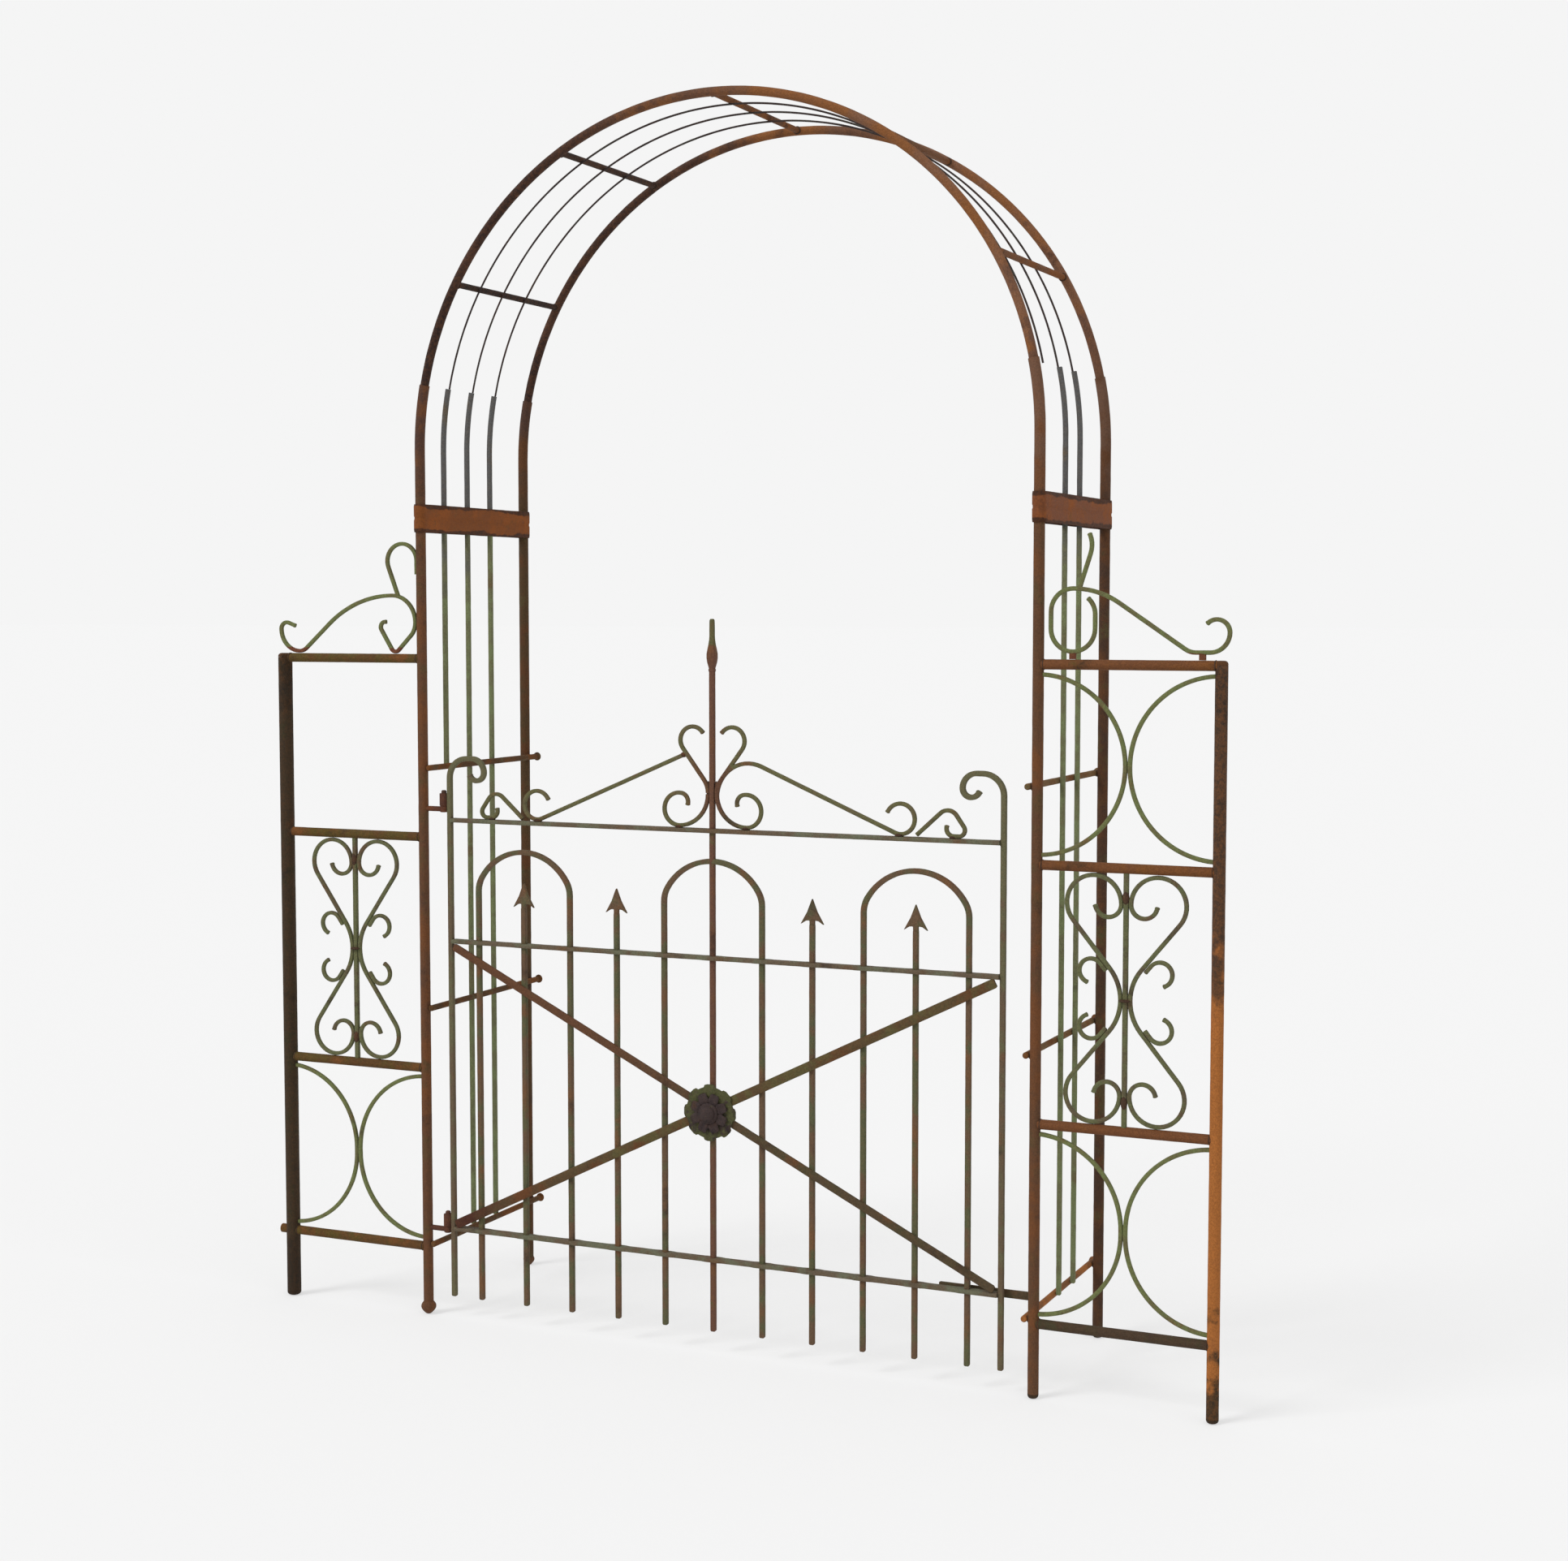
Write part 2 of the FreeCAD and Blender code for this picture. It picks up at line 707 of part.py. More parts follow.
def right_wing_crest():
    # the bar stands on two pads and ends in an oval ring beside the leg; a free tail stands on it
    ring = right_crest_ring_radius
    top_x = leg_x + leg_radius + right_crest_leg_gap + half_scroll + ring
    inner = [("arc", ring, 90), ("line", right_crest_rise - 2 * ring), ("arc", ring, 180),
             ("line", right_crest_ring_return),
             ("arc", right_crest_ring_tip_radius, right_crest_ring_tip_turn)]
    outer = [("arc", right_crest_curl_radius, 90),
             ("arc", right_crest_curl_tip_radius, right_crest_curl_tip_turn)]
    foot = (wing_post_x - right_crest_foot_setback, crest_rest + right_crest_lift)
    long_bar = crest_bar(foot, top_x, right_crest_rise, right_crest_flat_length,
                         right_crest_foot_radius, right_crest_slope, inner, outer)
    half_width = right_crest_pad_width / 2
    half_depth = right_crest_pad_depth / 2
    pads = [box((x - half_width, x + half_width), (front_y - half_depth, front_y + half_depth),
                (crest_rest - half_scroll, foot[1]))
            for x in (top_x, foot[0] - right_crest_flat_length / 2)]
    long_bar = long_bar.fuse(pads).removeSplitter()
    tail = bent_bar((top_x + crest_tail_setback, foot[1] + right_crest_rise),
                    90 - crest_tail_lean,
                    [("line", crest_tail_length),
                     ("arc", crest_tail_tip_radius, crest_tail_tip_turn)],
                    scroll_stock, front_y)
    tail = tail.cut(long_bar)
    return [long_bar, max(tail.Solids, key=lambda solid: solid.Volume)]


wing_sides = {"left": left_wing_post_diameter / 2, "right": right_wing_post_diameter / 2}
wing_rail_heights = {"top": wing_top_rail_height, "upper": wing_upper_rail_height,
                     "lower": wing_lower_rail_height, "bottom": wing_bottom_rail_height}
low_panel = (wing_lower_rail_height, wing_bottom_rail_height)
high_panel = (wing_top_rail_height, wing_upper_rail_height)
heart_radii = {"left": left_wing_heart_radius, "right": right_wing_heart_radius}
crests = {"left": left_wing_crest(), "right": right_wing_crest()}
arc_panels = {"left": [low_panel], "right": [high_panel, low_panel]}
for side in wing_sides:
    post_radius = wing_sides[side]
    place = mirrored if side == "left" else (lambda shape: shape)
    post = wing_post(post_radius)
    for name in wing_rail_heights:
        runs_through = side == "left" and name == "bottom"
        rail = wing_rail(wing_rail_heights[name], post_radius,
                         wing_rail_overhang if runs_through else 0.0)
        if runs_through:
            post = post.cut(rail)
        write(side + "_wing_" + name + "_rail", [place(rail)])
    write(side + "_wing_post", [place(post)])
    write(side + "_wing_rod", [place(wing_rod())])
    write(side + "_wing_scrolls", [place(bar) for bar in wing_scrolls(heart_radii[side])])
    write(side + "_wing_crest", [place(bar) for bar in crests[side]])
    arcs = []
    for high_rail, low_rail in arc_panels[side]:
        arcs += [place(bar) for bar in half_circle_bars(high_rail, low_rail, post_radius)]
    write(side + "_wing_arcs", arcs)

plugs = [plug(leg_x, front_y, plug_head_length, -1, leg_radius, leg_bore_radius),
         plug(leg_x, back_y, plug_head_length, -1, leg_radius, leg_bore_radius)]
for side in wing_sides:
    sign = -1 if side == "left" else 1
    radius = wing_sides[side]
    bore = radius - wing_post_wall
    plugs.append(plug(sign * wing_post_x, front_y, plug_head_length, -1, radius, bore))
    plugs.append(plug(sign * wing_post_x, front_y, wing_post_height - plug_head_length, 1, radius, bore))
write("tube_plugs", plugs)


# Gate

def square_corners(x, reach, height):
    return [Vector(x - reach, front_y - reach, height), Vector(x + reach, front_y - reach, height),
            Vector(x + reach, front_y + reach, height), Vector(x - reach, front_y + reach, height)]


def upright(x, low, high):
    # a square bar whose foot is drawn in slightly
    taper = gate_bar_foot_taper
    shaft = box((x - half_bar, x + half_bar), (front_y - half_bar, front_y + half_bar),
                (low + taper, high))
    foot = stacked([square_corners(x, half_bar - taper, low),
                    square_corners(x, half_bar, low + taper)])
    return shaft.fuse(foot).removeSplitter()


def stile():
    # the right stile: a straight bar whose top curls inwards
    foot = upright(gate_half_width, gate_bar_foot, stile_bend_height)
    bends = [("arc", stile_curl_radius, 90), ("line", stile_curl_flat),
             ("arc", stile_curl_middle_radius, 90),
             ("arc", stile_curl_tip_radius, stile_curl_tip_sweep)]
    curl = bent_bar((gate_half_width, stile_bend_height), 90, bends, gate_bar_stock, front_y)
    return foot.fuse(curl).removeSplitter()


def gate_hoop(centre_x):
    # two legs joined by a flattened three-centred arch
    shoulder = gate_hoop_shoulder_radius
    span = gate_bar_pitch
    rise = gate_hoop_rise
    crown = (span ** 2 + rise ** 2 - 2 * span * shoulder) / (2 * (rise - shoulder))
    turn = math.degrees(math.atan2(crown - rise, span - shoulder))
    spring = gate_hoop_top - half_bar - rise
    bends = [("arc", shoulder, turn), ("arc", crown, 180 - 2 * turn), ("arc", shoulder, turn)]
    arch = bent_bar((centre_x + span, spring), 90, bends, gate_bar_stock, front_y,
                    blunt_tip=False)
    legs = [upright(centre_x + side * span, gate_bar_foot, spring) for side in (-1, 1)]
    return arch.fuse(legs).removeSplitter()


def spear(x):
    # a flat barbed head drawn out of the bar's own end
    neck = spear_tip_height - spear_length
    shaft = upright(x, gate_bar_foot, neck)
    tip = Vector(0, 0, spear_tip_height)
    barb = Vector(spear_half_width, 0, neck + spear_length * spear_barb_share)
    blade = Vector(spear_blade_half_width, 0, neck + spear_length * spear_blade_share)
    notch = Vector(spear_neck_half_width, 0, neck + spear_length * spear_notch_share)
    root = Vector(spear_neck_half_width, 0, neck)
    under = Vector(spear_under_half_width, 0, neck + spear_length * spear_under_share)
    right = [tip, blade, barb, under, notch, root]
    left = [Vector(-corner.x, 0, corner.z) for corner in right[1:]]
    face = flat_face(right + left[::-1])
    face.translate(Vector(x, front_y - spear_thickness / 2, 0))
    head = face.extrude(Vector(0, spear_thickness, 0))
    return shaft.fuse(head).removeSplitter()


def centre_bar():
    # its top is forged into a four-sided lance above a square collar
    collar_low = finial_tip_height - finial_length
    half_collar = finial_collar_width / 2
    collar_high = collar_low + finial_length * finial_collar_share
    shaft = upright(0, gate_bar_foot, collar_high)
    collar = box((-half_collar, half_collar), (front_y - half_collar, front_y + half_collar),
                 (collar_low, collar_high))
    belly = collar_low + finial_length * finial_belly_share
    neck = collar_low + finial_length * finial_neck_share
    lance = stacked([square_corners(0, half_bar, collar_high),
                     square_corners(0, finial_width / 2, belly),
                     square_corners(0, half_bar, neck),
                     square_corners(0, finial_tip_width / 2, finial_tip_height)])
    return shaft.fuse([collar, lance]).removeSplitter()


def gate_rail(height, bar_places):
    # a flat rail between the stiles, punched where the uprights pass
    inner = gate_half_width - half_bar
    deep = gate_rail_depth / 2
    thin = gate_rail_thickness / 2
    rail = box((-inner, inner), (front_y - deep, front_y + deep), (height - thin, height + thin))
    hole = half_bar + gate_hole_clearance
    holes = []
    for place in bar_places:
        x = place * gate_bar_pitch
        holes.append(box((x - hole, x + hole), (front_y - hole, front_y + hole),
                         (height - gate_rail_thickness, height + gate_rail_thickness)))
    return rail.cut(holes)


hoop_centres = {"left": -4 * gate_bar_pitch, "centre": 0.0, "right": 4 * gate_bar_pitch}
spear_places = (-4, -2, 2, 4)
bar_places = (-5, -4, -3, -2, -1, 0, 1, 2, 3, 4, 5)
middle_bar = centre_bar()
write("hinge_stile", [mirrored(stile())])
write("latch_stile", [stile()])
write("gate_top_rail", [gate_rail(gate_top_rail_height, (0,))])
write("gate_middle_rail", [gate_rail(gate_middle_rail_height, bar_places)])
write("gate_bottom_rail", [gate_rail(gate_bottom_rail_height, bar_places)])
for name in hoop_centres:
    solids = gate_hoop(hoop_centres[name]).cut(middle_bar).Solids
    write(name + "_gate_hoop", solids)
write("gate_spears", [spear(place * gate_bar_pitch) for place in spear_places])
write("gate_centre_bar", [middle_bar])


# Braces and rosette, on the front of the gate's bars

brace_front = front_y - half_bar - brace_thickness
panel_top = gate_middle_rail_height - gate_rail_thickness / 2
panel_bottom = gate_bottom_rail_height + gate_rail_thickness / 2


def brace(rising):
    # one diagonal with a half lap where it crosses the other
    reach = gate_half_width
    drop = (panel_top - panel_bottom) / 2
    centre_z = (panel_top + panel_bottom) / 2
    angle = math.degrees(math.atan2(drop, reach))
    own_width = rising_brace_width if rising else falling_brace_width
    other_width = falling_brace_width if rising else rising_brace_width
    long_side = math.hypot(reach, drop) + own_width
    bar = box((-long_side, long_side), (brace_front, brace_front + brace_thickness),
              (-own_width / 2, own_width / 2))
    lap_reach = own_width / math.sin(math.radians(2 * angle))
    half_thick = brace_thickness / 2
    sign = 1 if rising else -1
    bar.rotate(Vector(0, 0, 0), Vector(0, -1, 0), sign * angle)
    bar.translate(Vector(0, 0, centre_z))
    frame = box((-reach - half_bar, reach + half_bar), (brace_front - brace_thickness, front_y),
                (panel_bottom, panel_top))
    other = box((-2 * lap_reach, 2 * lap_reach),
                (brace_front, brace_front + half_thick) if rising
                else (brace_front + half_thick, brace_front + brace_thickness),
                (-other_width / 2, other_width / 2))
    other.rotate(Vector(0, 0, 0), Vector(0, -1, 0), -sign * angle)
    other.translate(Vector(0, 0, centre_z))
    return bar.common(frame).cut(other)


def rosette():
    # two layers of rounded petals and a domed boss
    back = brace_front
    upper_back = back - rosette_thickness
    half_petal = 180 / rosette_petals
    lower_reach = rosette_diameter / 2
    upper_reach = lower_reach * rosette_upper_share
    layers = ((lower_reach, 0, back), (upper_reach, half_petal, upper_back))
    solids = []
    for outer, turn, face_y in layers:
        petal = outer * math.sin(math.pi / rosette_petals) / (1 + math.sin(math.pi / rosette_petals))
        middle = outer - petal
        corners = []
        for index in range(rosette_petals):
            centre_angle = turn + 2 * half_petal * index
            for part in range(rosette_petal_sides):
                # each petal is an arc that meets its neighbours at the valleys
                swing = (part / rosette_petal_sides - 0.5) * (180 + 2 * half_petal)
                x = middle * math.cos(math.radians(centre_angle))
                z = middle * math.sin(math.radians(centre_angle))
                x += petal * math.cos(math.radians(centre_angle + swing))
                z += petal * math.sin(math.radians(centre_angle + swing))
                corners.append(Vector(x, face_y, rosette_height + z))
        solids.append(flat_face(corners).extrude(Vector(0, -rosette_thickness, 0)))
    profile = ((rosette_boss_diameter / 2, 0),
               (rosette_boss_shoulder_diameter / 2, rosette_boss_shoulder_height),
               (rosette_boss_top_diameter / 2, rosette_boss_height))
    boss = turned(profile, 0, 0, tube_sides)
    boss.rotate(Vector(0, 0, 0), Vector(1, 0, 0), 90)
    boss.translate(Vector(0, upper_back - rosette_thickness, rosette_height))
    return solids[0].fuse([solids[1], boss]).removeSplitter()


write("rising_brace", [brace(True)])
write("falling_brace", [brace(False)])
write("gate_rosette", [rosette()])


# Crest of the gate: right half drawn, left half mirrored

def gate_crest():
    rest = gate_top_rail_height + gate_rail_thickness / 2 + half_scroll
    near = half_bar + half_scroll

    heart = bent_bar((near, heart_root_height), 90,
                     [("arc", heart_root_radius, -heart_lean), ("line", heart_side_length),
                      ("arc", heart_radius, heart_lean + heart_sweep)], scroll_stock, front_y)

    shoulder_centre = (near + pediment_shoulder_radius, heart_root_height - scroll_stock)
    curl_centre = (pediment_curl_centre, rest + pediment_curl_radius)
    run = curl_centre[0] - shoulder_centre[0]
    drop = shoulder_centre[1] - curl_centre[1]
    across = math.hypot(run, drop)
    both = pediment_shoulder_radius + pediment_curl_radius
    straight = math.sqrt(across ** 2 - both ** 2)
    slope = math.degrees(math.asin(both / across) + math.atan2(drop, run))
    pediment = bent_bar((near, shoulder_centre[1]), 90,
                        [("arc", pediment_shoulder_radius, -(90 + slope)), ("line", straight),
                         ("arc", pediment_curl_radius, pediment_curl_sweep + slope)],
                        scroll_stock, front_y)

    # on the left the pediment has no shoulder and ends on the outer side of the heart
    run = curl_centre[0] - left_pediment_reach
    drop = left_pediment_height - curl_centre[1]
    across = math.hypot(run, drop)
    slope = math.degrees(math.atan2(drop, run) + math.asin(pediment_curl_radius / across))
    straight = math.sqrt(across ** 2 - pediment_curl_radius ** 2)
    left_pediment = bent_bar((left_pediment_reach, left_pediment_height), -slope,
                             [("line", straight),
                              ("arc", pediment_curl_radius, pediment_curl_sweep + slope)],
                             scroll_stock, front_y)

    root_radius = lower_curl_centre - near
    lower_curl = bent_bar((near, rest + root_radius), -90,
                          [("arc", root_radius, 90), ("arc", lower_curl_radius, lower_curl_sweep),
                           ("arc", lower_curl_tip_radius, lower_curl_tip_sweep)],
                          scroll_stock, front_y)

    # the end scroll climbs, falls and turns back along the rail
    lean = math.radians(end_scroll_lean)
    fall = math.radians(end_scroll_fall)
    climb = (end_scroll_rise - end_scroll_top_radius * (1 - math.cos(lean))) / math.sin(lean)
    round_drop = end_scroll_top_radius * (1 - math.cos(fall))
    round_drop += end_scroll_bottom_radius * (1 + math.cos(fall))
    end_bends = [("line", climb),
                 ("arc", end_scroll_top_radius, -(end_scroll_lean + end_scroll_fall)),
                 ("line", (end_scroll_rise - round_drop) / math.sin(fall)),
                 ("arc", end_scroll_bottom_radius, end_scroll_fall - 180),
                 ("line", end_scroll_bottom_length),
                 ("arc", end_scroll_tip_radius, -end_scroll_tip_sweep)]
    end_scroll = bent_bar((end_scroll_foot, rest), end_scroll_lean, end_bends, scroll_stock, front_y)
    rail_top = rest - half_scroll
    above_rail = box((0, gate_half_width), (front_y - scroll_stock, front_y + scroll_stock),
                     (rail_top, finial_tip_height))
    bars = []
    for outline, finish in ((pediment, lambda bar: bar), (left_pediment, mirrored)):
        pieces = [heart, outline.cut(heart), lower_curl.cut(outline),
                  end_scroll.common(above_rail).cut(outline)]
        bars += [finish(max(piece.Solids, key=lambda solid: solid.Volume)) for piece in pieces]
    return bars


write("gate_crest", gate_crest())


# Hinges and stop

def pintle(height):
    # an arm from the leg turns up into the pin that carries the eye; height is the eye's middle;
    # the collar under the eye is a lip longer than the arm is thick at both its ends
    eye_low = height - hinge_eye_length / 2
    arm_radius = hinge_arm_diameter / 2
    shoulder = hinge_pin_diameter / 2 + hinge_eye_wall - hinge_collar_shortfall
    arm_height = eye_low - hinge_seat_gap - arm_radius - hinge_collar_lip
    arm = round_bar(Vector(hinge_x, front_y, arm_height), Vector(-leg_x, front_y, arm_height),
                    arm_radius)
    arm = arm.cut(mirrored(leg_space))
    collar = round_bar(Vector(hinge_x, front_y, arm_height - arm_radius - hinge_collar_lip),
                       Vector(hinge_x, front_y, eye_low - hinge_seat_gap), shoulder, tube_sides)
    pin = cylinder(Vector(hinge_x, front_y, arm_height),
                   Vector(hinge_x, front_y, height + hinge_eye_length / 2 + hinge_pin_stand_up),
                   hinge_pin_diameter / 2)
    return arm.fuse([collar, pin]).removeSplitter()


def eye(height):
    bore = hinge_pin_diameter / 2 + hinge_running_clearance / 2
    low = Vector(hinge_x, front_y, height - hinge_eye_length / 2)
    high = Vector(hinge_x, front_y, height + hinge_eye_length / 2)
    return tube(low, high, bore + hinge_eye_wall, bore)


def stop_bar():
    # a flat bar on the back of the bottom rail that reaches behind the right leg
    y = front_y + gate_rail_depth / 2
    half = stop_bar_width / 2
    return box((gate_half_width - stop_bar_lap, leg_x - stop_bar_shortfall),
               (y, y + stop_bar_thickness),
               (gate_bottom_rail_height - half, gate_bottom_rail_height + half))


hinge_heights = (lower_hinge_height, upper_hinge_height)
write("hinge_pintles", [pintle(height) for height in hinge_heights])
write("hinge_eyes", [eye(height) for height in hinge_heights])
write("gate_stop_bar", [stop_bar()])
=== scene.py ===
import math

import bpy
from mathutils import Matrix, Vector


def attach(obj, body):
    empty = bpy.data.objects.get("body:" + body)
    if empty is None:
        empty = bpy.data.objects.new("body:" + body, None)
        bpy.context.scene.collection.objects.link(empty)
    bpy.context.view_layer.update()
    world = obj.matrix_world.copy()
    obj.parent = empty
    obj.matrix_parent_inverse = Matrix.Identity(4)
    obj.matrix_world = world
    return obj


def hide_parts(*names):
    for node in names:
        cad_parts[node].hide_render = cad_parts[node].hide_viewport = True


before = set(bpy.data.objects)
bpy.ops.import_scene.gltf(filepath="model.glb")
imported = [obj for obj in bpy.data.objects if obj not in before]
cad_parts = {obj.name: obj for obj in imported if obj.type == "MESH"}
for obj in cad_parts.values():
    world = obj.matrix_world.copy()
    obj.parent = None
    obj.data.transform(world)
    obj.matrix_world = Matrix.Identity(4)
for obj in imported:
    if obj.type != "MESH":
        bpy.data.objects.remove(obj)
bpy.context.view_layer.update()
print("frame loaded:", len(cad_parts), "nodes")

# lengths are in mm unless a note says otherwise: x to the right, y to the back, z up
mm = 0.001
frontY = -193
backY = 193
legX = 620
postX = 938
wingMidX = 779


def at(x, y, z):
    return x * mm, y * mm, z * mm


def deselect():
    bpy.ops.object.select_all(action="DESELECT")


def applyPlace():
    bpy.ops.object.transform_apply(location=True, rotation=True, scale=True)


def addNode(tree, kind, **settings):
    node = tree.nodes.new("ShaderNode" + kind)
    for name, value in settings.items():
        setattr(node, name, value)
    return node


def feed(tree, socket, value):
    # a plain value is set on the socket, anything else is linked to it
    if isinstance(value, (int, float, tuple)):
        socket.default_value = value
    else:
        tree.links.new(value, socket)


def calc(tree, operation, first, second):
    node = addNode(tree, "Math", operation=operation)
    feed(tree, node.inputs[0], first)
    feed(tree, node.inputs[1], second)
    return node.outputs[0]


def mixColours(tree, factor, first, second, blend="MIX"):
    node = addNode(tree, "Mix", data_type="RGBA", blend_type=blend)
    for index, value in ((0, factor), (6, first), (7, second)):
        feed(tree, node.inputs[index], value)
    return node.outputs[2]


# places and the floor's sizes in metres, turns in degrees
camera = {"place": (1.9089, -4.1077, 1.3685), "turn": (85.987, 0, 24.279), "lens": 55, "sensor": 36}
light = {"sunStrength": 1.75, "sunAngle": 22, "sunTurn": (48, 0, -38), "fillStrength": 0.55,
         "fillAngle": 60, "fillTurn": (62, 0, 70), "sky": 0.62, "backdrop": 0.913}
paper = {"size": 400, "drop": 0.0005, "grey": (0.862, 0.862, 0.862, 1), "shadow": 0.42}


def setCamera():
    bpy.ops.object.camera_add(location=camera["place"],
                              rotation=[math.radians(angle) for angle in camera["turn"]])
    view = bpy.context.object
    view.name = "photoCamera"
    view.data.lens = camera["lens"]
    view.data.sensor_width = camera["sensor"]
    view.data.sensor_fit = "HORIZONTAL"
    bpy.context.scene.camera = view


def addSun(name, strength, angle, turn):
    bpy.ops.object.light_add(type="SUN", rotation=[math.radians(value) for value in turn])
    sun = bpy.context.object
    sun.name = name
    sun.data.energy = strength
    sun.data.angle = math.radians(angle)


def whiteLight(tree, kind, strength):
    node = addNode(tree, kind)
    node.inputs["Color"].default_value = (1, 1, 1, 1)
    node.inputs["Strength"].default_value = strength
    return node


def mixToOutput(tree, output, factor, first, second):
    mix = addNode(tree, "MixShader")
    for index, value in enumerate((factor, first.outputs[0], second.outputs[0])):
        feed(tree, mix.inputs[index], value)
    tree.links.new(mix.outputs[0], addNode(tree, output).inputs[0])


def setSky():
    # the backdrop for what the eye or a mirror-like surface sees, a dimmer sky for light on the iron
    world = bpy.data.worlds.new("paleStudio")
    bpy.context.scene.world = world
    world.use_nodes = True
    tree = world.node_tree
    tree.nodes.clear()
    path = addNode(tree, "LightPath").outputs
    seen = calc(tree, "MAXIMUM", path["Is Camera Ray"], path["Is Glossy Ray"])
    mixToOutput(tree, "OutputWorld", seen, whiteLight(tree, "Background", light["sky"]),
                whiteLight(tree, "Background", light["backdrop"]))


def addFloor():
    # a wide sheet of paper: pale to the eye, and it keeps a soft part of the shadow
    deselect()
    bpy.ops.mesh.primitive_plane_add(size=paper["size"], location=(0, 0, -paper["drop"]))
    floor = bpy.context.object
    floor.name = "paperFloor"
    applyPlace()
    material = bpy.data.materials.new("paleFloor")
    material.use_nodes = True
    tree = material.node_tree
    tree.nodes.clear()
    matt = addNode(tree, "BsdfDiffuse")
    matt.inputs["Color"].default_value = paper["grey"]
    mixToOutput(tree, "OutputMaterial", paper["shadow"],
                whiteLight(tree, "Emission", light["backdrop"]), matt)
    floor.data.materials.append(material)


bpy.context.scene.view_settings.view_transform = "Standard"
setCamera()
addSun("windowSun", light["sunStrength"], light["sunAngle"], light["sunTurn"])
addSun("fillSun", light["fillStrength"], light["fillAngle"], light["fillTurn"])
setSky()
addFloor()
print("camera, lamps and floor set")

# clouds hold scale, detail, roughness and shift; a layer's scale is a multiple of the finish's
# patch, and its last value is the softness of its edge
weather = {"grit": (420, 3, 0.65, (7, 3, 1)), "speck": (160, 4, 0.7, (2, 9, 4)),
           "wander": (9, 4, 0.6, (3, 1, 2)),
           "layers": {"Rust": (1, 5, 0.62, (0, 0, 0), 0.09), "Growth": (2.3, 4, 0.6, (13, 5, 8), 0.09),
                      "Soot": (1, 5, 0.66, (31, 17, 3), 0.08)},
           "brightCover": 0.5, "brightEdge": 0.12, "brightShare": 0.3,
           "brightTint": (1.3, 1.28, 1.25, 1), "pitCover": 0.42, "pitEdge": 0.06, "pitShare": 0.45,
           "pitTint": (0.62, 0.6, 0.58, 1),
           "rough": 0.66, "rustRough": 0.14, "speckRough": 0.2, "rustHeight": 0.35, "speckHeight": 0.8,
           "bumpDepth": 1.2, "metallic": 0.08, "specular": 0.2, "cloudTop": 0.75, "cloudSpan": 0.5}


def toLinear(red, green, blue):
    linear = []
    for value in (red / 255, green / 255, blue / 255):
        linear.append(value / 12.92 if value <= 0.04045 else ((value + 0.055) / 1.055) ** 2.4)
    return (*linear, 1)


def noise(tree, vector, scale, detail, roughness, shift):
    moved = addNode(tree, "VectorMath", operation="ADD")
    feed(tree, moved.inputs[0], vector)
    feed(tree, moved.inputs[1], shift)
    cloud = addNode(tree, "TexNoise")
    for socket, value in (("Vector", moved.outputs[0]), ("Scale", scale), ("Detail", detail),
                          ("Roughness", roughness)):
        feed(tree, cloud.inputs[socket], value)
    return cloud.outputs["Fac"]


def coverMask(tree, cloud, cover, softness):
    # a cloud cut at the height that leaves about that share of the surface covered
    level = calc(tree, "MULTIPLY", cover, -weather["cloudSpan"])
    level = calc(tree, "ADD", level, weather["cloudTop"])
    spread = addNode(tree, "MapRange", interpolation_type="SMOOTHSTEP")
    for socket, value in (("Value", cloud), ("From Min", calc(tree, "SUBTRACT", level, softness)),
                          ("From Max", calc(tree, "ADD", level, softness))):
        feed(tree, spread.inputs[socket], value)
    return spread.outputs["Result"]


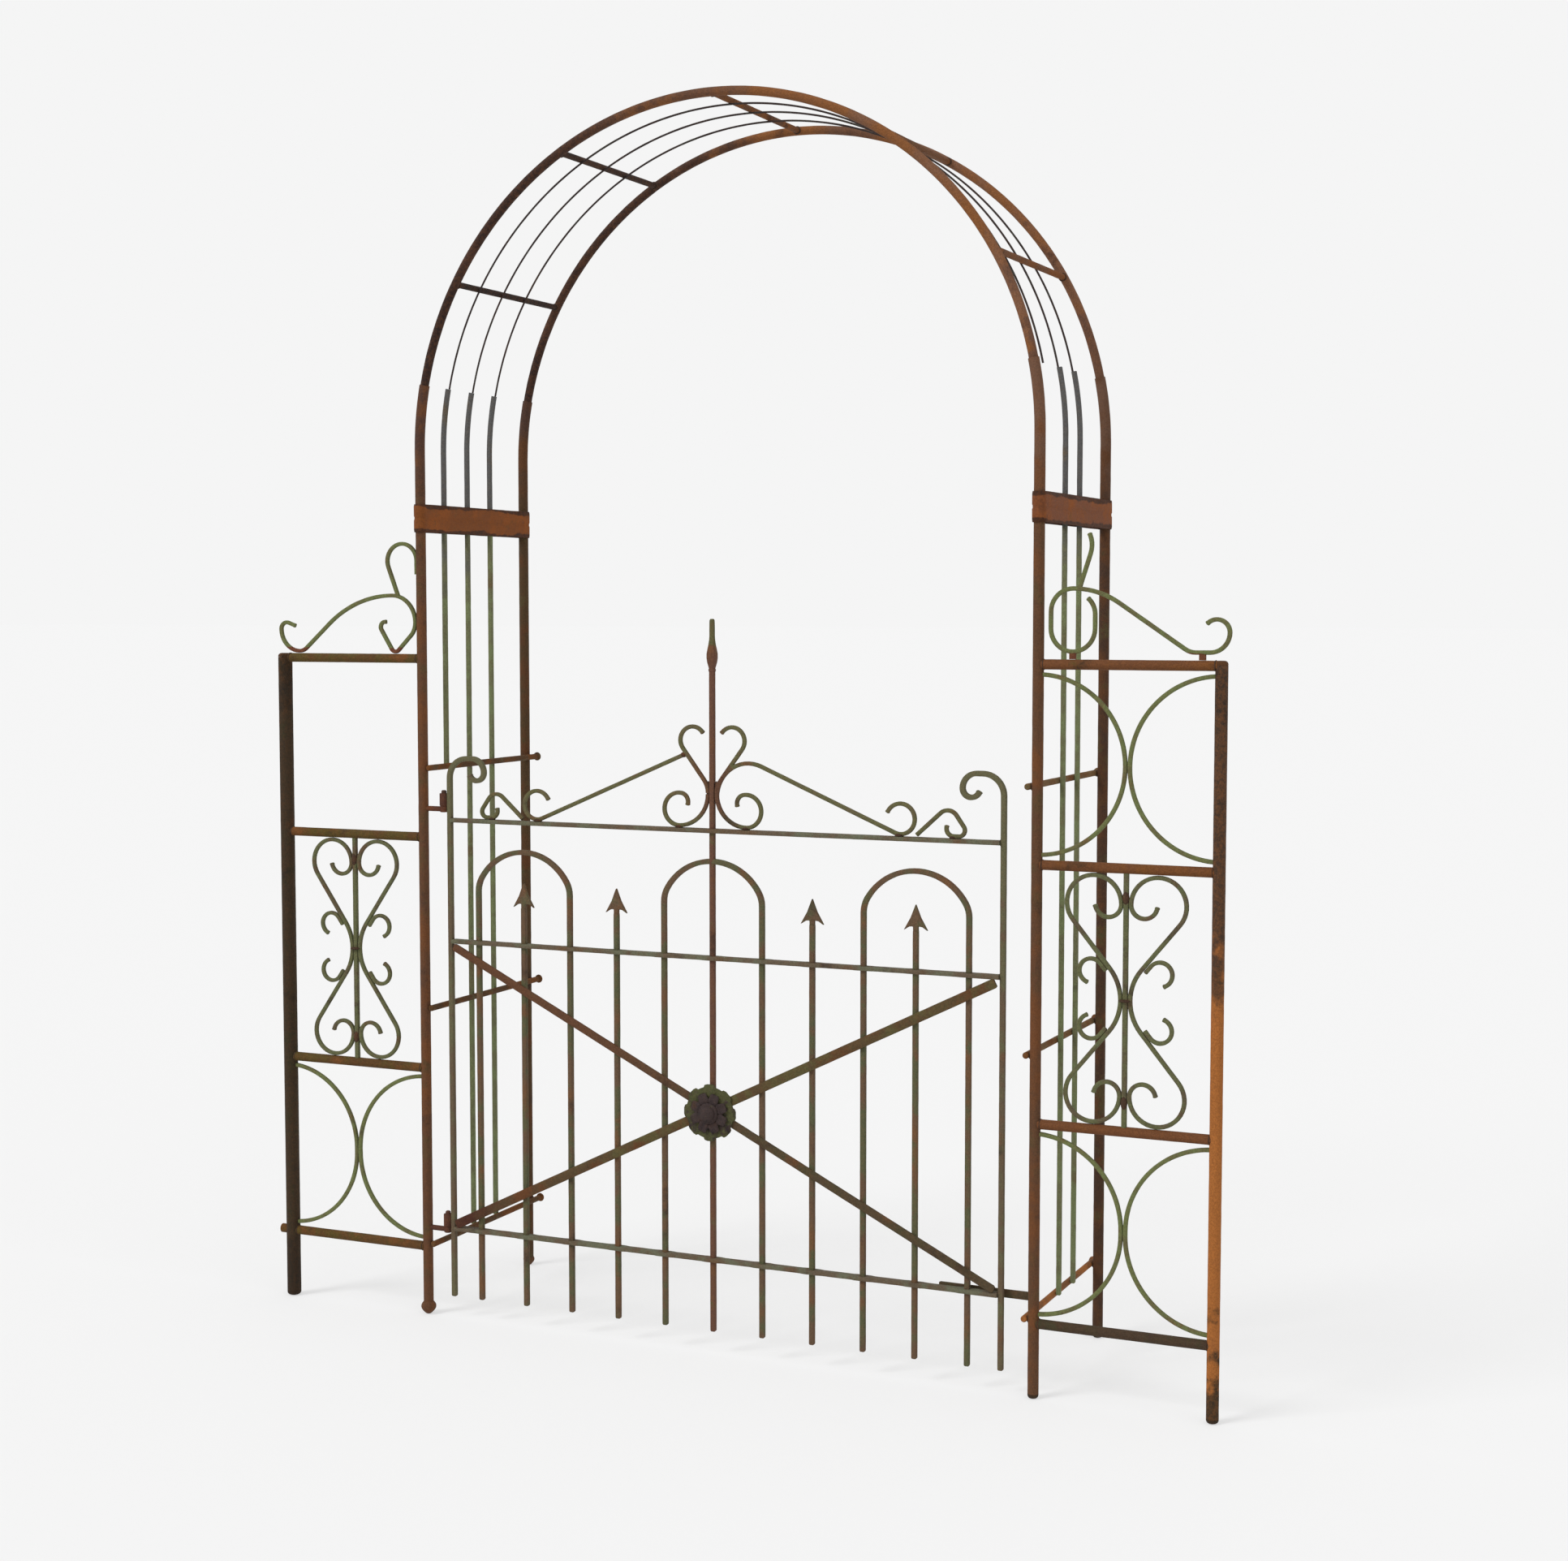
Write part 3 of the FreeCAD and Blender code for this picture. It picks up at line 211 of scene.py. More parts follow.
def buildWeatheredIron():
    # old paint under rust, green growth and soot-dark patches, with bright specks and pits
    tree = bpy.data.node_groups.new("weatheredIron", "ShaderNodeTree")
    for way, kind, names in (
            ("INPUT", "Color", ("Paint", "Rust", "Growth", "Soot")),
            ("INPUT", "Float", ("Rust Cover", "Growth Cover", "Soot Cover", "Patch Scale", "Pit Depth")),
            ("INPUT", "Vector", ("Place",)), ("OUTPUT", "Color", ("Colour",)),
            ("OUTPUT", "Float", ("Roughness", "Height"))):
        for name in names:
            tree.interface.new_socket(name=name, in_out=way, socket_type="NodeSocket" + kind)
    source = tree.nodes.new("NodeGroupInput").outputs
    grit = noise(tree, source["Place"], *weather["grit"])
    speck = noise(tree, source["Place"], *weather["speck"])
    colour = source["Paint"]
    masks = {}
    for layer, (finer, detail, roughness, shift, softness) in weather["layers"].items():
        scale = calc(tree, "MULTIPLY", source["Patch Scale"], finer)
        cloud = noise(tree, source["Place"], scale, detail, roughness, shift)
        masks[layer] = coverMask(tree, cloud, source[layer + " Cover"], softness)
        colour = mixColours(tree, masks[layer], colour, source[layer])
    bright = coverMask(tree, speck, weather["brightCover"], weather["brightEdge"])
    lighter = mixColours(tree, 0.5, colour, source["Rust"])
    lighter = mixColours(tree, 1.0, lighter, weather["brightTint"], "MULTIPLY")
    colour = mixColours(tree, calc(tree, "MULTIPLY", bright, weather["brightShare"]), colour, lighter)
    pits = coverMask(tree, grit, weather["pitCover"], weather["pitEdge"])
    pitted = mixColours(tree, 1.0, colour, weather["pitTint"], "MULTIPLY")
    colour = mixColours(tree, calc(tree, "MULTIPLY", pits, weather["pitShare"]), colour, pitted)
    rough = calc(tree, "MULTIPLY", masks["Rust"], weather["rustRough"])
    rough = calc(tree, "ADD", rough, weather["rough"])
    rough = calc(tree, "ADD", rough, calc(tree, "MULTIPLY", speck, weather["speckRough"]))
    lumps = calc(tree, "MULTIPLY", speck, weather["speckHeight"])
    crust = calc(tree, "MULTIPLY", masks["Rust"], weather["rustHeight"])
    sunk = calc(tree, "MULTIPLY", pits, source["Pit Depth"])
    height = calc(tree, "SUBTRACT", calc(tree, "ADD", lumps, crust), sunk)
    out = tree.nodes.new("NodeGroupOutput").inputs
    for socket, value in (("Colour", colour), ("Roughness", rough), ("Height", height)):
        feed(tree, out[socket], value)
    return tree


weatheredIron = buildWeatheredIron()


def makeIron(name, finish):
    material = bpy.data.materials.new(name)
    material.use_nodes = True
    tree = material.node_tree
    shader = tree.nodes["Principled BSDF"].inputs
    place = addNode(tree, "TexCoord").outputs["Object"]
    group = addNode(tree, "Group", node_tree=weatheredIron)
    for layer in ("paint", "rust", "growth", "soot"):
        group.inputs[layer.capitalize()].default_value = toLinear(*finish[layer])
    for socket, key in (("Rust Cover", "rustCover"), ("Growth Cover", "growthCover"),
                        ("Soot Cover", "sootCover"), ("Patch Scale", "patch"), ("Pit Depth", "pits")):
        group.inputs[socket].default_value = finish[key]
    feed(tree, group.inputs["Place"], place)
    split = addNode(tree, "SeparateXYZ")
    feed(tree, split.inputs[0], place)
    for socket, axis, start, end, before, after, *middle in finish["changes"]:
        spot = split.outputs[axis]
        if middle:
            spot = calc(tree, "ABSOLUTE", calc(tree, "SUBTRACT", spot, middle[0] * mm), 0)
        wander = calc(tree, "SUBTRACT", noise(tree, place, *weather["wander"]), 0.5)
        wander = calc(tree, "MULTIPLY", wander, finish["wander"])
        along = addNode(tree, "MapRange", interpolation_type="SMOOTHSTEP")
        for bound, value in (("Value", calc(tree, "ADD", spot, wander)), ("From Min", start * mm),
                             ("From Max", end * mm)):
            feed(tree, along.inputs[bound], value)
        result = along.outputs[0]
        if isinstance(before, tuple):
            result = mixColours(tree, result, toLinear(*before), toLinear(*after))
        else:
            along.inputs["To Min"].default_value = before
            along.inputs["To Max"].default_value = after
        feed(tree, group.inputs[socket], result)
    bump = addNode(tree, "Bump")
    for socket, value in (("Strength", finish["bump"]), ("Distance", weather["bumpDepth"] * mm),
                          ("Height", group.outputs["Height"])):
        feed(tree, bump.inputs[socket], value)
    for socket, value in (("Base Color", group.outputs["Colour"]), ("Normal", bump.outputs[0]),
                          ("Roughness", group.outputs["Roughness"]), ("Metallic", weather["metallic"]),
                          ("Specular IOR Level", weather["specular"])):
        feed(tree, shader[socket], value)
    return material


# colours as they look in daylight, shares covered, patches per metre, and how far in metres the
# edge of a change wanders
plainFinish = {"paint": (88, 64, 46), "rust": (106, 70, 42), "growth": (86, 78, 52),
               "soot": (62, 46, 36), "rustCover": 0.42, "growthCover": 0.2, "sootCover": 0.24,
               "patch": 11, "pits": 0.8, "bump": 0.5, "wander": 0.5, "changes": ()}

# what differs from the plain finish; a change holds the socket, the axis, where it starts and ends,
# the value before and after, and for one that runs outwards, the place it runs from
finishes = {
    "hoop": dict(
        rust=(126, 80, 44), growth=(100, 70, 54), soot=(64, 42, 32), patch=9,
        changes=[("Paint", "X", -520, 520, (42, 27, 23), (118, 82, 60)),
                 ("Rust Cover", "X", -480, 0, 0.04, 0.52),
                 ("Soot Cover", "X", -620, -260, 0.46, 0.14),
                 ("Growth Cover", "X", 540, 625, 0.1, 0.7)]),
    "band": dict(
        rust=(132, 74, 32), growth=(96, 66, 34), soot=(58, 35, 22), growthCover=0.16, patch=12,
        pits=0.9, wander=0.03,
        changes=[("Paint", "X", -300, 300, (114, 64, 26), (112, 64, 36)),
                 # the soot cover that rises towards the band's top and bottom edges is painted shade on
                 # its rounded rims; the low cover elsewhere is real soot
                 ("Soot Cover", "Z", 15, 25, 0.14, 0.92, 1548)]),
    "archRung": dict(
        rust=(116, 70, 34), soot=(36, 25, 20), growthCover=0.1,
        changes=[("Paint", "X", -420, 200, (32, 23, 20), (102, 66, 40)),
                 ("Rust Cover", "X", -420, 0, 0.02, 0.5)]),
    "rung": dict(
        rust=(104, 64, 30), growthCover=0.24, sootCover=0.22, patch=16,
        changes=[("Paint", "X", -300, 300, (76, 52, 27), (108, 82, 50))]),
    "orangeRung": dict(
        paint=(112, 74, 44), rust=(150, 94, 48), rustCover=0.5, growthCover=0.1, sootCover=0.16,
        patch=16),
    "wire": dict(
        paint=(48, 38, 36), rust=(62, 46, 40), growth=(58, 56, 50), rustCover=0.3, growthCover=0.3),
    "rod": dict(
        rust=(98, 80, 54), growth=(110, 120, 82), soot=(76, 74, 56), rustCover=0.2, sootCover=0.14,
        changes=[("Paint", "Z", 1440, 1560, (104, 106, 76), (84, 84, 84)),
                 ("Growth Cover", "Z", 1380, 1560, 0.5, 0.0)]),
    "post": dict(
        paint=(54, 41, 26), rust=(84, 54, 30), growth=(48, 42, 23), soot=(40, 31, 20), growthCover=0.3,
        changes=[("Rust Cover", "Z", 1200, 1289, 0.22, 0.72),
                 ("Soot Cover", "Z", 60, 360, 0.5, 0.28)]),
    "rightPost": dict(
        rust=(156, 96, 46), growth=(58, 45, 30), soot=(48, 37, 28),
        changes=[("Rust Cover", "Z", 650, 850, 0.84, 0.04), ("Soot Cover", "Z", 590, 810, 0.06, 0.36),
                 ("Growth Cover", "Z", 20, 240, 0.97, 0.12),
                 ("Paint", "Z", 610, 810, (138, 84, 42), (68, 49, 35))]),
    "rail": dict(
        rust=(112, 70, 34), growth=(80, 66, 26), soot=(60, 42, 24), rustCover=0.36,
        changes=[("Paint", "X", -300, 300, (82, 57, 26), (104, 64, 36)),
                 ("Growth Cover", "X", -300, 300, 0.46, 0.1)]),
    "darkRail": dict(
        paint=(66, 51, 37), rust=(78, 55, 35), growth=(62, 56, 36), rustCover=0.3, growthCover=0.36),
    "scroll": dict(
        paint=(88, 80, 60), rust=(98, 74, 52), growth=(92, 96, 64), soot=(62, 54, 42), rustCover=0.3,
        growthCover=0.58, sootCover=0.2, patch=12),
    "crest": dict(
        paint=(96, 94, 62), rust=(104, 84, 52), growth=(100, 108, 66), soot=(70, 66, 44),
        rustCover=0.22, growthCover=0.58, sootCover=0.16, patch=16),
    "wingCrest": dict(
        paint=(96, 94, 62), rust=(104, 84, 52), growth=(100, 108, 66), soot=(102, 58, 38),
        rustCover=0.22, growthCover=0.58, patch=16, wander=0.02,
        changes=[("Soot Cover", "Z", 1295, 1303, 1.0, 0.06)]),
    "gateBar": dict(
        paint=(94, 74, 56), rust=(108, 76, 50), growth=(82, 84, 58), soot=(60, 48, 38),
        rustCover=0.34, growthCover=0.46, sootCover=0.2, patch=9),
    "stile": dict(
        paint=(94, 80, 62), rust=(102, 76, 54), growth=(94, 92, 66), soot=(66, 54, 42), rustCover=0.3,
        sootCover=0.16, changes=[("Growth Cover", "Z", 820, 1040, 0.42, 0.84)]),
    "gateRail": dict(
        paint=(94, 82, 66), rust=(100, 76, 54), growth=(98, 100, 80), soot=(66, 54, 44),
        rustCover=0.3, growthCover=0.46, sootCover=0.22, patch=10),
    "centreBar": dict(
        paint=(96, 66, 52), rust=(106, 72, 46), growth=(88, 86, 54), soot=(66, 46, 36),
        rustCover=0.34, wander=0.06, changes=[("Growth Cover", "Z", 1300, 1325, 0.16, 0.86)]),
    "risingBrace": dict(
        rust=(96, 60, 34), growth=(84, 78, 46), soot=(60, 48, 32), sootCover=0.18,
        changes=[("Paint", "X", -560, -380, (66, 34, 24), (82, 66, 42)),
                 ("Growth Cover", "X", -480, -200, 0.06, 0.46)]),
    "fallingBrace": dict(
        rust=(98, 66, 40), growth=(72, 64, 42), soot=(56, 42, 30), rustCover=0.3,
        changes=[("Paint", "X", -420, 160, (92, 60, 40), (74, 62, 44)),
                 ("Growth Cover", "X", -300, 100, 0.1, 0.46)]),
    "gateCrest": dict(
        rust=(104, 76, 50), growth=(92, 92, 60), soot=(68, 58, 42), rustCover=0.3, sootCover=0.2,
        patch=14, wander=0.12,
        changes=[("Growth Cover", "X", 10, 50, 0.04, 0.6, 0),
                 ("Paint", "X", 10, 60, (92, 62, 46), (94, 88, 62), 0)]),
    "rosette": dict(
        paint=(58, 47, 46), rust=(70, 50, 40), growth=(76, 78, 46), soot=(42, 33, 35), rustCover=0.24,
        sootCover=0.34, patch=30, pits=1.0, wander=0.012,
        changes=[("Growth Cover", "Y", -215, -207, 0.06, 0.78)]),
    "hinge": dict(
        paint=(78, 48, 36), rust=(100, 60, 38), rustCover=0.4, growthCover=0.12, sootCover=0.3,
        patch=24),
    "weld": dict(
        paint=(66, 48, 36), rust=(88, 58, 38), rustCover=0.34, growthCover=0.16, sootCover=0.36,
        patch=40, pits=1.1)}
for place, low, high, soot in (("leftFront", (90, 60, 40), (68, 48, 42), 0.22),
                               ("rightFront", (88, 60, 40), (106, 76, 58), 0.18),
                               ("leftBack", (72, 54, 32), (70, 48, 38), 0.28),
                               ("rightBack", (64, 44, 31), (102, 74, 58), 0.28)):
    back = place.endswith("Back")
    finishes[place + "Leg"] = dict(
        rust=(88, 56, 33) if back else (106, 66, 38), growth=(74, 64, 38) if back else (84, 64, 40),
        changes=[("Paint", "Z", 1450, 1800, low, high), ("Soot Cover", "Z", 1480, 1640, soot, 0.08),
                 ("Growth Cover", "Z", 1480, 1640, 0.3, 0.08)])
iron = {name: makeIron(name + "Iron", {**plainFinish, **finish}) for name, finish in finishes.items()}
print("finishes made:", len(bpy.data.materials))


def marksTexture(name, size, depth):
    marks = bpy.data.textures.new(name, "CLOUDS")
    marks.noise_scale = size * mm
    marks.noise_depth = depth
    return marks


forgeMarks = marksTexture("forgeMarks", 16, 2)
weldMarks = marksTexture("weldMarks", 5, 1)
ringLength = 9  # the longest stretch between two rings of a bar
ringTurn = 9  # and the widest turn between them, in degrees


def roundSection(width, sides):
    return {"form": "round", "width": width, "sides": sides}


def flatSection(width, depth, edge=1.3):
    # width lies in the upright plane, depth from front to back
    return {"form": "flat", "width": width, "depth": depth, "edge": edge}


def selectAll():
    bpy.ops.mesh.select_all(action="SELECT")


def extrude(way):
    bpy.ops.mesh.extrude_region_move(TRANSFORM_OT_translate={"value": way})


def resize(scales, centre=(0, 0, 0)):
    bpy.ops.transform.resize(value=scales, center_override=centre)


def startEdit():
    # a new primitive's place goes into its mesh, and all of it is selected
    applyPlace()
    bpy.ops.object.mode_set(mode="EDIT")
    selectAll()


def rename(piece, name):
    piece.name = name
    piece.data.name = name
    return piece


def closeMesh(name):
    selectAll()
    bpy.ops.mesh.remove_doubles(threshold=0.02 * mm)
    bpy.ops.mesh.normals_make_consistent(inside=False)
    bpy.ops.object.mode_set(mode="OBJECT")
    return rename(bpy.context.object, name)


def startBar(section, x, z, heading, size=1.0, y=frontY):
    # a bar starts as its cut end, and the pen says where it goes on in the upright plane
    deselect()
    turn = (0, math.radians(90 - heading), 0)
    place = at(x, y, z)
    width = section["width"] * mm * size
    if section["form"] == "round":
        bpy.ops.mesh.primitive_circle_add(vertices=section["sides"], radius=width / 2, fill_type="NGON",
                                          location=place, rotation=turn)
        startEdit()
    else:
        bpy.ops.mesh.primitive_plane_add(size=width, location=place, rotation=turn)
        startEdit()
        resize((1, section["depth"] / section["width"], 1), place)
        bpy.ops.mesh.bevel(offset=section["edge"] * mm * size, segments=2, affect="VERTICES")
        selectAll()
    return {"x": x, "y": y, "z": z, "heading": heading}


def goAhead(pen, length):
    angle = math.radians(pen["heading"])
    dx, dz = length * math.cos(angle), length * math.sin(angle)
    pen["x"] += dx
    pen["z"] += dz
    return dx, dz


def goRound(pen, radius, turn):
    # a positive turn bends to the left
    side = math.radians(pen["heading"] + math.copysign(90, turn))
    centreX = pen["x"] + radius * math.cos(side)
    centreZ = pen["z"] + radius * math.sin(side)
    swing = math.radians(turn)
    dx, dz = pen["x"] - centreX, pen["z"] - centreZ
    pen["x"] = centreX + dx * math.cos(swing) - dz * math.sin(swing)
    pen["z"] = centreZ + dx * math.sin(swing) + dz * math.cos(swing)
    pen["heading"] += turn
    return centreX, centreZ


def drawStraight(pen, length, rings=None):
    steps = rings or max(1, round(length / ringLength))
    dx, dz = goAhead(pen, length)
    bpy.ops.mesh.extrude_repeat(steps=steps, offset=(dx / steps * mm, 0, dz / steps * mm),
                                scale_offset=1.0)


def drawRound(pen, radius, turn):
    length = radius * math.radians(abs(turn))
    steps = max(math.ceil(length / ringLength), math.ceil(abs(turn) / ringTurn))
    centreX, centreZ = goRound(pen, radius, turn)
    bpy.ops.mesh.spin(steps=steps, angle=math.radians(turn), axis=(0, 1, 0),
                      center=at(centreX, pen["y"], centreZ))


def drawStep(pen, length, scale, depthScale=None):
    # one short stretch that swells or draws in, all round or only in its depth
    dx, dz = goAhead(pen, length)
    extrude(at(dx, 0, dz))
    resize((1, depthScale, 1) if depthScale else [scale] * 3, at(pen["x"], pen["y"], pen["z"]))


def drawBar(name, section, x, z, heading, bends, size=1.0, y=frontY):
    # bends holds ("line", length), ("arc", radius, turn) and ("step", length, scale)
    pen = startBar(section, x, z, heading, size, y)
    draw = {"line": drawStraight, "arc": drawRound, "step": drawStep}
    for kind, *values in bends:
        draw[kind](pen, *values)
    return closeMesh(name)


def drawUpright(name, section, x, low, bends, y=frontY):
    # a bar that stands up from its foot
    return drawBar(name, section, x, low, 90, foot["bends"] + bends, foot["size"], y)


def backwards(bends):
    # the same run from its far end
    turned = []
    for kind, length, *change in reversed(bends):
        turned.append((kind, length, *[-value if kind == "arc" else 1 / value for value in change]))
    return turned


# a blunt tip, and a foot that starts small; their sizes are what they begin or end with
tip = {"bends": [("step", 1.6, 1.1), ("step", 1.6, 0.92), ("step", 1.0, 0.55)],
       "size": 1.1 * 0.92 * 0.55}
foot = {"bends": [("step", 1.0, 1.35), ("step", 2.0, 1 / 0.9)], "size": 0.9 / 1.35, "length": 3}


def drawBothWays(name, section, x, z, heading, behind, ahead):
    # one bar through a middle point: behind runs off the other way, and both end in a tip
    end = {"x": x, "z": z, "heading": heading + 180}
    for kind, *values in behind + tip["bends"]:
        if kind == "arc":
            goRound(end, *values)
        else:
            goAhead(end, values[0])
    bends = backwards(tip["bends"]) + backwards(behind) + ahead + tip["bends"]
    return drawBar(name, section, end["x"], end["z"], end["heading"] + 180, bends, tip["size"])


def crossBar(name, start, end, stops, sides=18):
    # a straight round bar; stops is its width, or a list of (share of the way, width)
    deselect()
    first = Vector(start) * mm
    way = Vector(end) * mm - first
    if not isinstance(stops, list):
        stops = [(0, stops), (1, stops)]
    bpy.ops.mesh.primitive_circle_add(vertices=sides, radius=stops[0][1] / 2 * mm, fill_type="NGON",
                                      location=first, rotation=way.to_track_quat("Z", "Y").to_euler())
    startEdit()
    for (share, width), (nextShare, nextWidth) in zip(stops, stops[1:]):
        stretch = way * (nextShare - share)
        if width == nextWidth:
            steps = max(1, round(stretch.length / mm / ringLength))
            bpy.ops.mesh.extrude_repeat(steps=steps, offset=stretch / steps, scale_offset=1.0)
        else:
            extrude(stretch)
            resize([nextWidth / width] * 3, first + way * nextShare)
    return closeMesh(name)


def select(pieces):
    deselect()
    for piece in pieces:
        piece.select_set(True)
    bpy.context.view_layer.objects.active = pieces[0]


def copyPiece(piece, name):
    select([piece])
    bpy.ops.object.duplicate(linked=False)
    return rename(bpy.context.object, name)


def mirrorCopy(piece, name, axis=0, middle=0):
    copy = copyPiece(piece, name)
    copy.scale[axis] = -1
    copy.location[axis] = 2 * middle * mm
    startEdit()
    return closeMesh(name)


def mirrorPiece(piece):
    name = piece.name
    mirrored = mirrorCopy(piece, name + "Left")
    bpy.data.objects.remove(piece)
    return rename(mirrored, name)


def join(name, parts):
    select(parts)
    if len(parts) > 1:
        bpy.ops.object.join()
    return rename(bpy.context.object, name)


def shapeWith(piece, kind, **settings):
    modifier = piece.modifiers.new("shape", kind)
    for name, value in settings.items():
        setattr(modifier, name, value)
    bpy.ops.object.modifier_apply(modifier="shape")


def settle(piece, material, body, nodes=(), marks=0.45, texture=forgeMarks, corner=38):
    # hammer marks go inwards only, so a bar never grows past its size
    select([piece])
    if marks:
        shapeWith(piece, "DISPLACE", texture=texture, texture_coords="LOCAL", mid_level=1.0,
                  strength=marks * mm)
    bpy.ops.object.shade_smooth_by_angle(angle=math.radians(corner))
    piece.data.materials.clear()
    piece.data.materials.append(material)
    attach(piece, body)
    if nodes:
        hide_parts(*nodes)
    return piece


# legs, whose low ends stand at unlike heights, and angles in degrees
leg = {"width": 20, "sides": 28, "wall": 1.5, "spring": 1676, "curve": 11.5, "socket": 3,
       "low": {("left", "front"): 14, ("right", "front"): 8, ("left", "back"): 11, ("right", "back"): 8}}


def drawLeg(name, y, low):
    # the top end is opened as a socket for the hoop
    pen = startBar(roundSection(leg["width"], leg["sides"]), legX, low, 90, y=y)
    drawStraight(pen, leg["spring"] - low)
    drawRound(pen, legX, leg["curve"])
    bpy.ops.mesh.inset(thickness=leg["wall"] * mm, depth=0)
    pen["heading"] += 180
    drawStep(pen, leg["socket"], 1)
    return closeMesh(name)


for (side, place), low in leg["low"].items():
    name = side + place.capitalize() + "Leg"
    piece = drawLeg(name, frontY if place == "front" else backY, low)
    if side == "left":
        piece = mirrorPiece(piece)
    settle(piece, iron[name], "arch", [side + "_" + place + "_leg"])

hoop = {"width": 16.8, "sides": 24, "radius": 620, "start": 6.5, "rungs": (-60, -30, 0, 30, 60),
        "rungWidth": 12, "wire": 4, "wireSides": 10, "wireMarks": 0.3,
        "wireSetbacks": {"front": 75, "middle": 160, "back": 245}}


def onArch(angle, radius=hoop["radius"]):
    # angle is counted from the right, upwards
    turn = math.radians(angle)
    return radius * math.cos(turn), leg["spring"] + radius * math.sin(turn)


def drawOverArch(name, section, radius, start, y):
    x, z = onArch(start, radius)
    return drawBar(name, section, x, z, 90 + start, [("arc", radius, 180 - 2 * start)], y=y)


for place, y in (("front", frontY), ("back", backY)):
    bar = drawOverArch(place + "Hoop", roundSection(hoop["width"], hoop["sides"]), hoop["radius"],
                       hoop["start"], y)
    settle(bar, iron["hoop"], "arch", [place + "_hoop"])

rungs = []
for lean in hoop["rungs"]:
    x, z = onArch(90 - lean)
    rungs.append(crossBar("archRung", (x, frontY, z), (x, backY, z), hoop["rungWidth"]))
settle(join("archRungs", rungs), iron["archRung"], "arch", ["arch_rungs"])

wireRadius = hoop["radius"] - hoop["rungWidth"] / 2 - hoop["wire"] / 2
for place, setback in hoop["wireSetbacks"].items():
    wire = drawOverArch(place + "Wire", roundSection(hoop["wire"], hoop["wireSides"]), wireRadius,
                        leg["curve"], frontY + setback)
    settle(wire, iron["wire"], "arch", [place + "_arch_wire"], marks=hoop["wireMarks"])
print("legs, hoops, rungs and wires drawn")

# columns: rods and rungs between a front and a back leg
column = {"rod": 9, "rodEdge": 1.6, "upper": 1070, "middle": 604, "lower": 140, "rungX": 604,
          "rungWidth": 12, "front": -201, "back": 222, "knob": 18, "knobLength": 14, "knobTip": 4,
          "knobRings": 8, "knobRound": 0.6, "bevel": 2, "bevelShare": 0.7}
rodX = column["rungX"] + column["rungWidth"] / 2 + column["rod"] / 2


def drawRod(name, y, low):
    bends = [("line", leg["spring"] - low - foot["length"]), ("arc", rodX, leg["curve"])]
    section = flatSection(column["rod"], column["rod"], column["rodEdge"])
    return drawUpright(name, section, rodX, low, bends, y)


for place, setback in hoop["wireSetbacks"].items():
    low = column["upper"] if place == "front" else column["lower"]
    rod = drawRod("right" + place.capitalize() + "Rod", frontY + setback, low)
    mirrored = mirrorCopy(rod, "left" + place.capitalize() + "Rod")
    settle(mirrored, iron["rod"], "arch", ["left_" + place + "_trellis_rod"])
    if place == "front":  # the right column has only two rods
        bpy.data.objects.remove(rod)
    else:
        settle(rod, iron["rod"], "arch", ["right_" + place + "_trellis_rod"])


def knobStops():
    # widths along a column rung, which starts drawn in and ends in a knob
    length = column["back"] - column["front"]
    knobStart = 1 - column["knobLength"] / length
    thin, rings = column["rungWidth"], column["knobRings"]
    stops = [(0, thin * column["bevelShare"]), (column["bevel"] / length, thin), (knobStart, thin)]
    for ring in range(1, rings):
        bulge = math.sin(math.pi * (ring + column["knobRound"]) / (rings + column["knobRound"]))
        stops.append((knobStart + ring / rings * (1 - knobStart),
                      max(column["knobTip"], column["knob"] * bulge)))
    return stops + [(1, column["knobTip"])]


for place in ("upper", "middle", "lower"):
    rung = crossBar("right" + place.capitalize() + "Rung",
                    (column["rungX"], column["front"], column[place]),
                    (column["rungX"], column["back"], column[place]), knobStops())
    mirrored = mirrorCopy(rung, "left" + place.capitalize() + "Rung")
    settle(mirrored, iron["rung"], "arch", ["left_" + place + "_rung"])
    settle(rung, iron["orangeRung" if place == "lower" else "rung"], "arch",
           ["right_" + place + "_rung"])

band = {"height": 1548, "width": 54, "thick": 3, "groove": 4, "grooveDepth": 1, "edge": 5, "rim": 0.8,
        "sides": 48, "cuts": range(-180, 181, 15), "metal": 2.6, "soft": 0.7, "sharp": 50,
        "marks": 0.7}


def selectVertices(test):
    # edit mode, by place
    bpy.ops.mesh.select_all(action="DESELECT")
    bpy.ops.object.mode_set(mode="OBJECT")
    for vertex in bpy.context.object.data.vertices:
        vertex.select = test(vertex.co / mm)
    bpy.ops.object.mode_set(mode="EDIT")


def cutAcross(place, normal):
    selectAll()
    bpy.ops.mesh.bisect(plane_co=place, plane_no=normal)


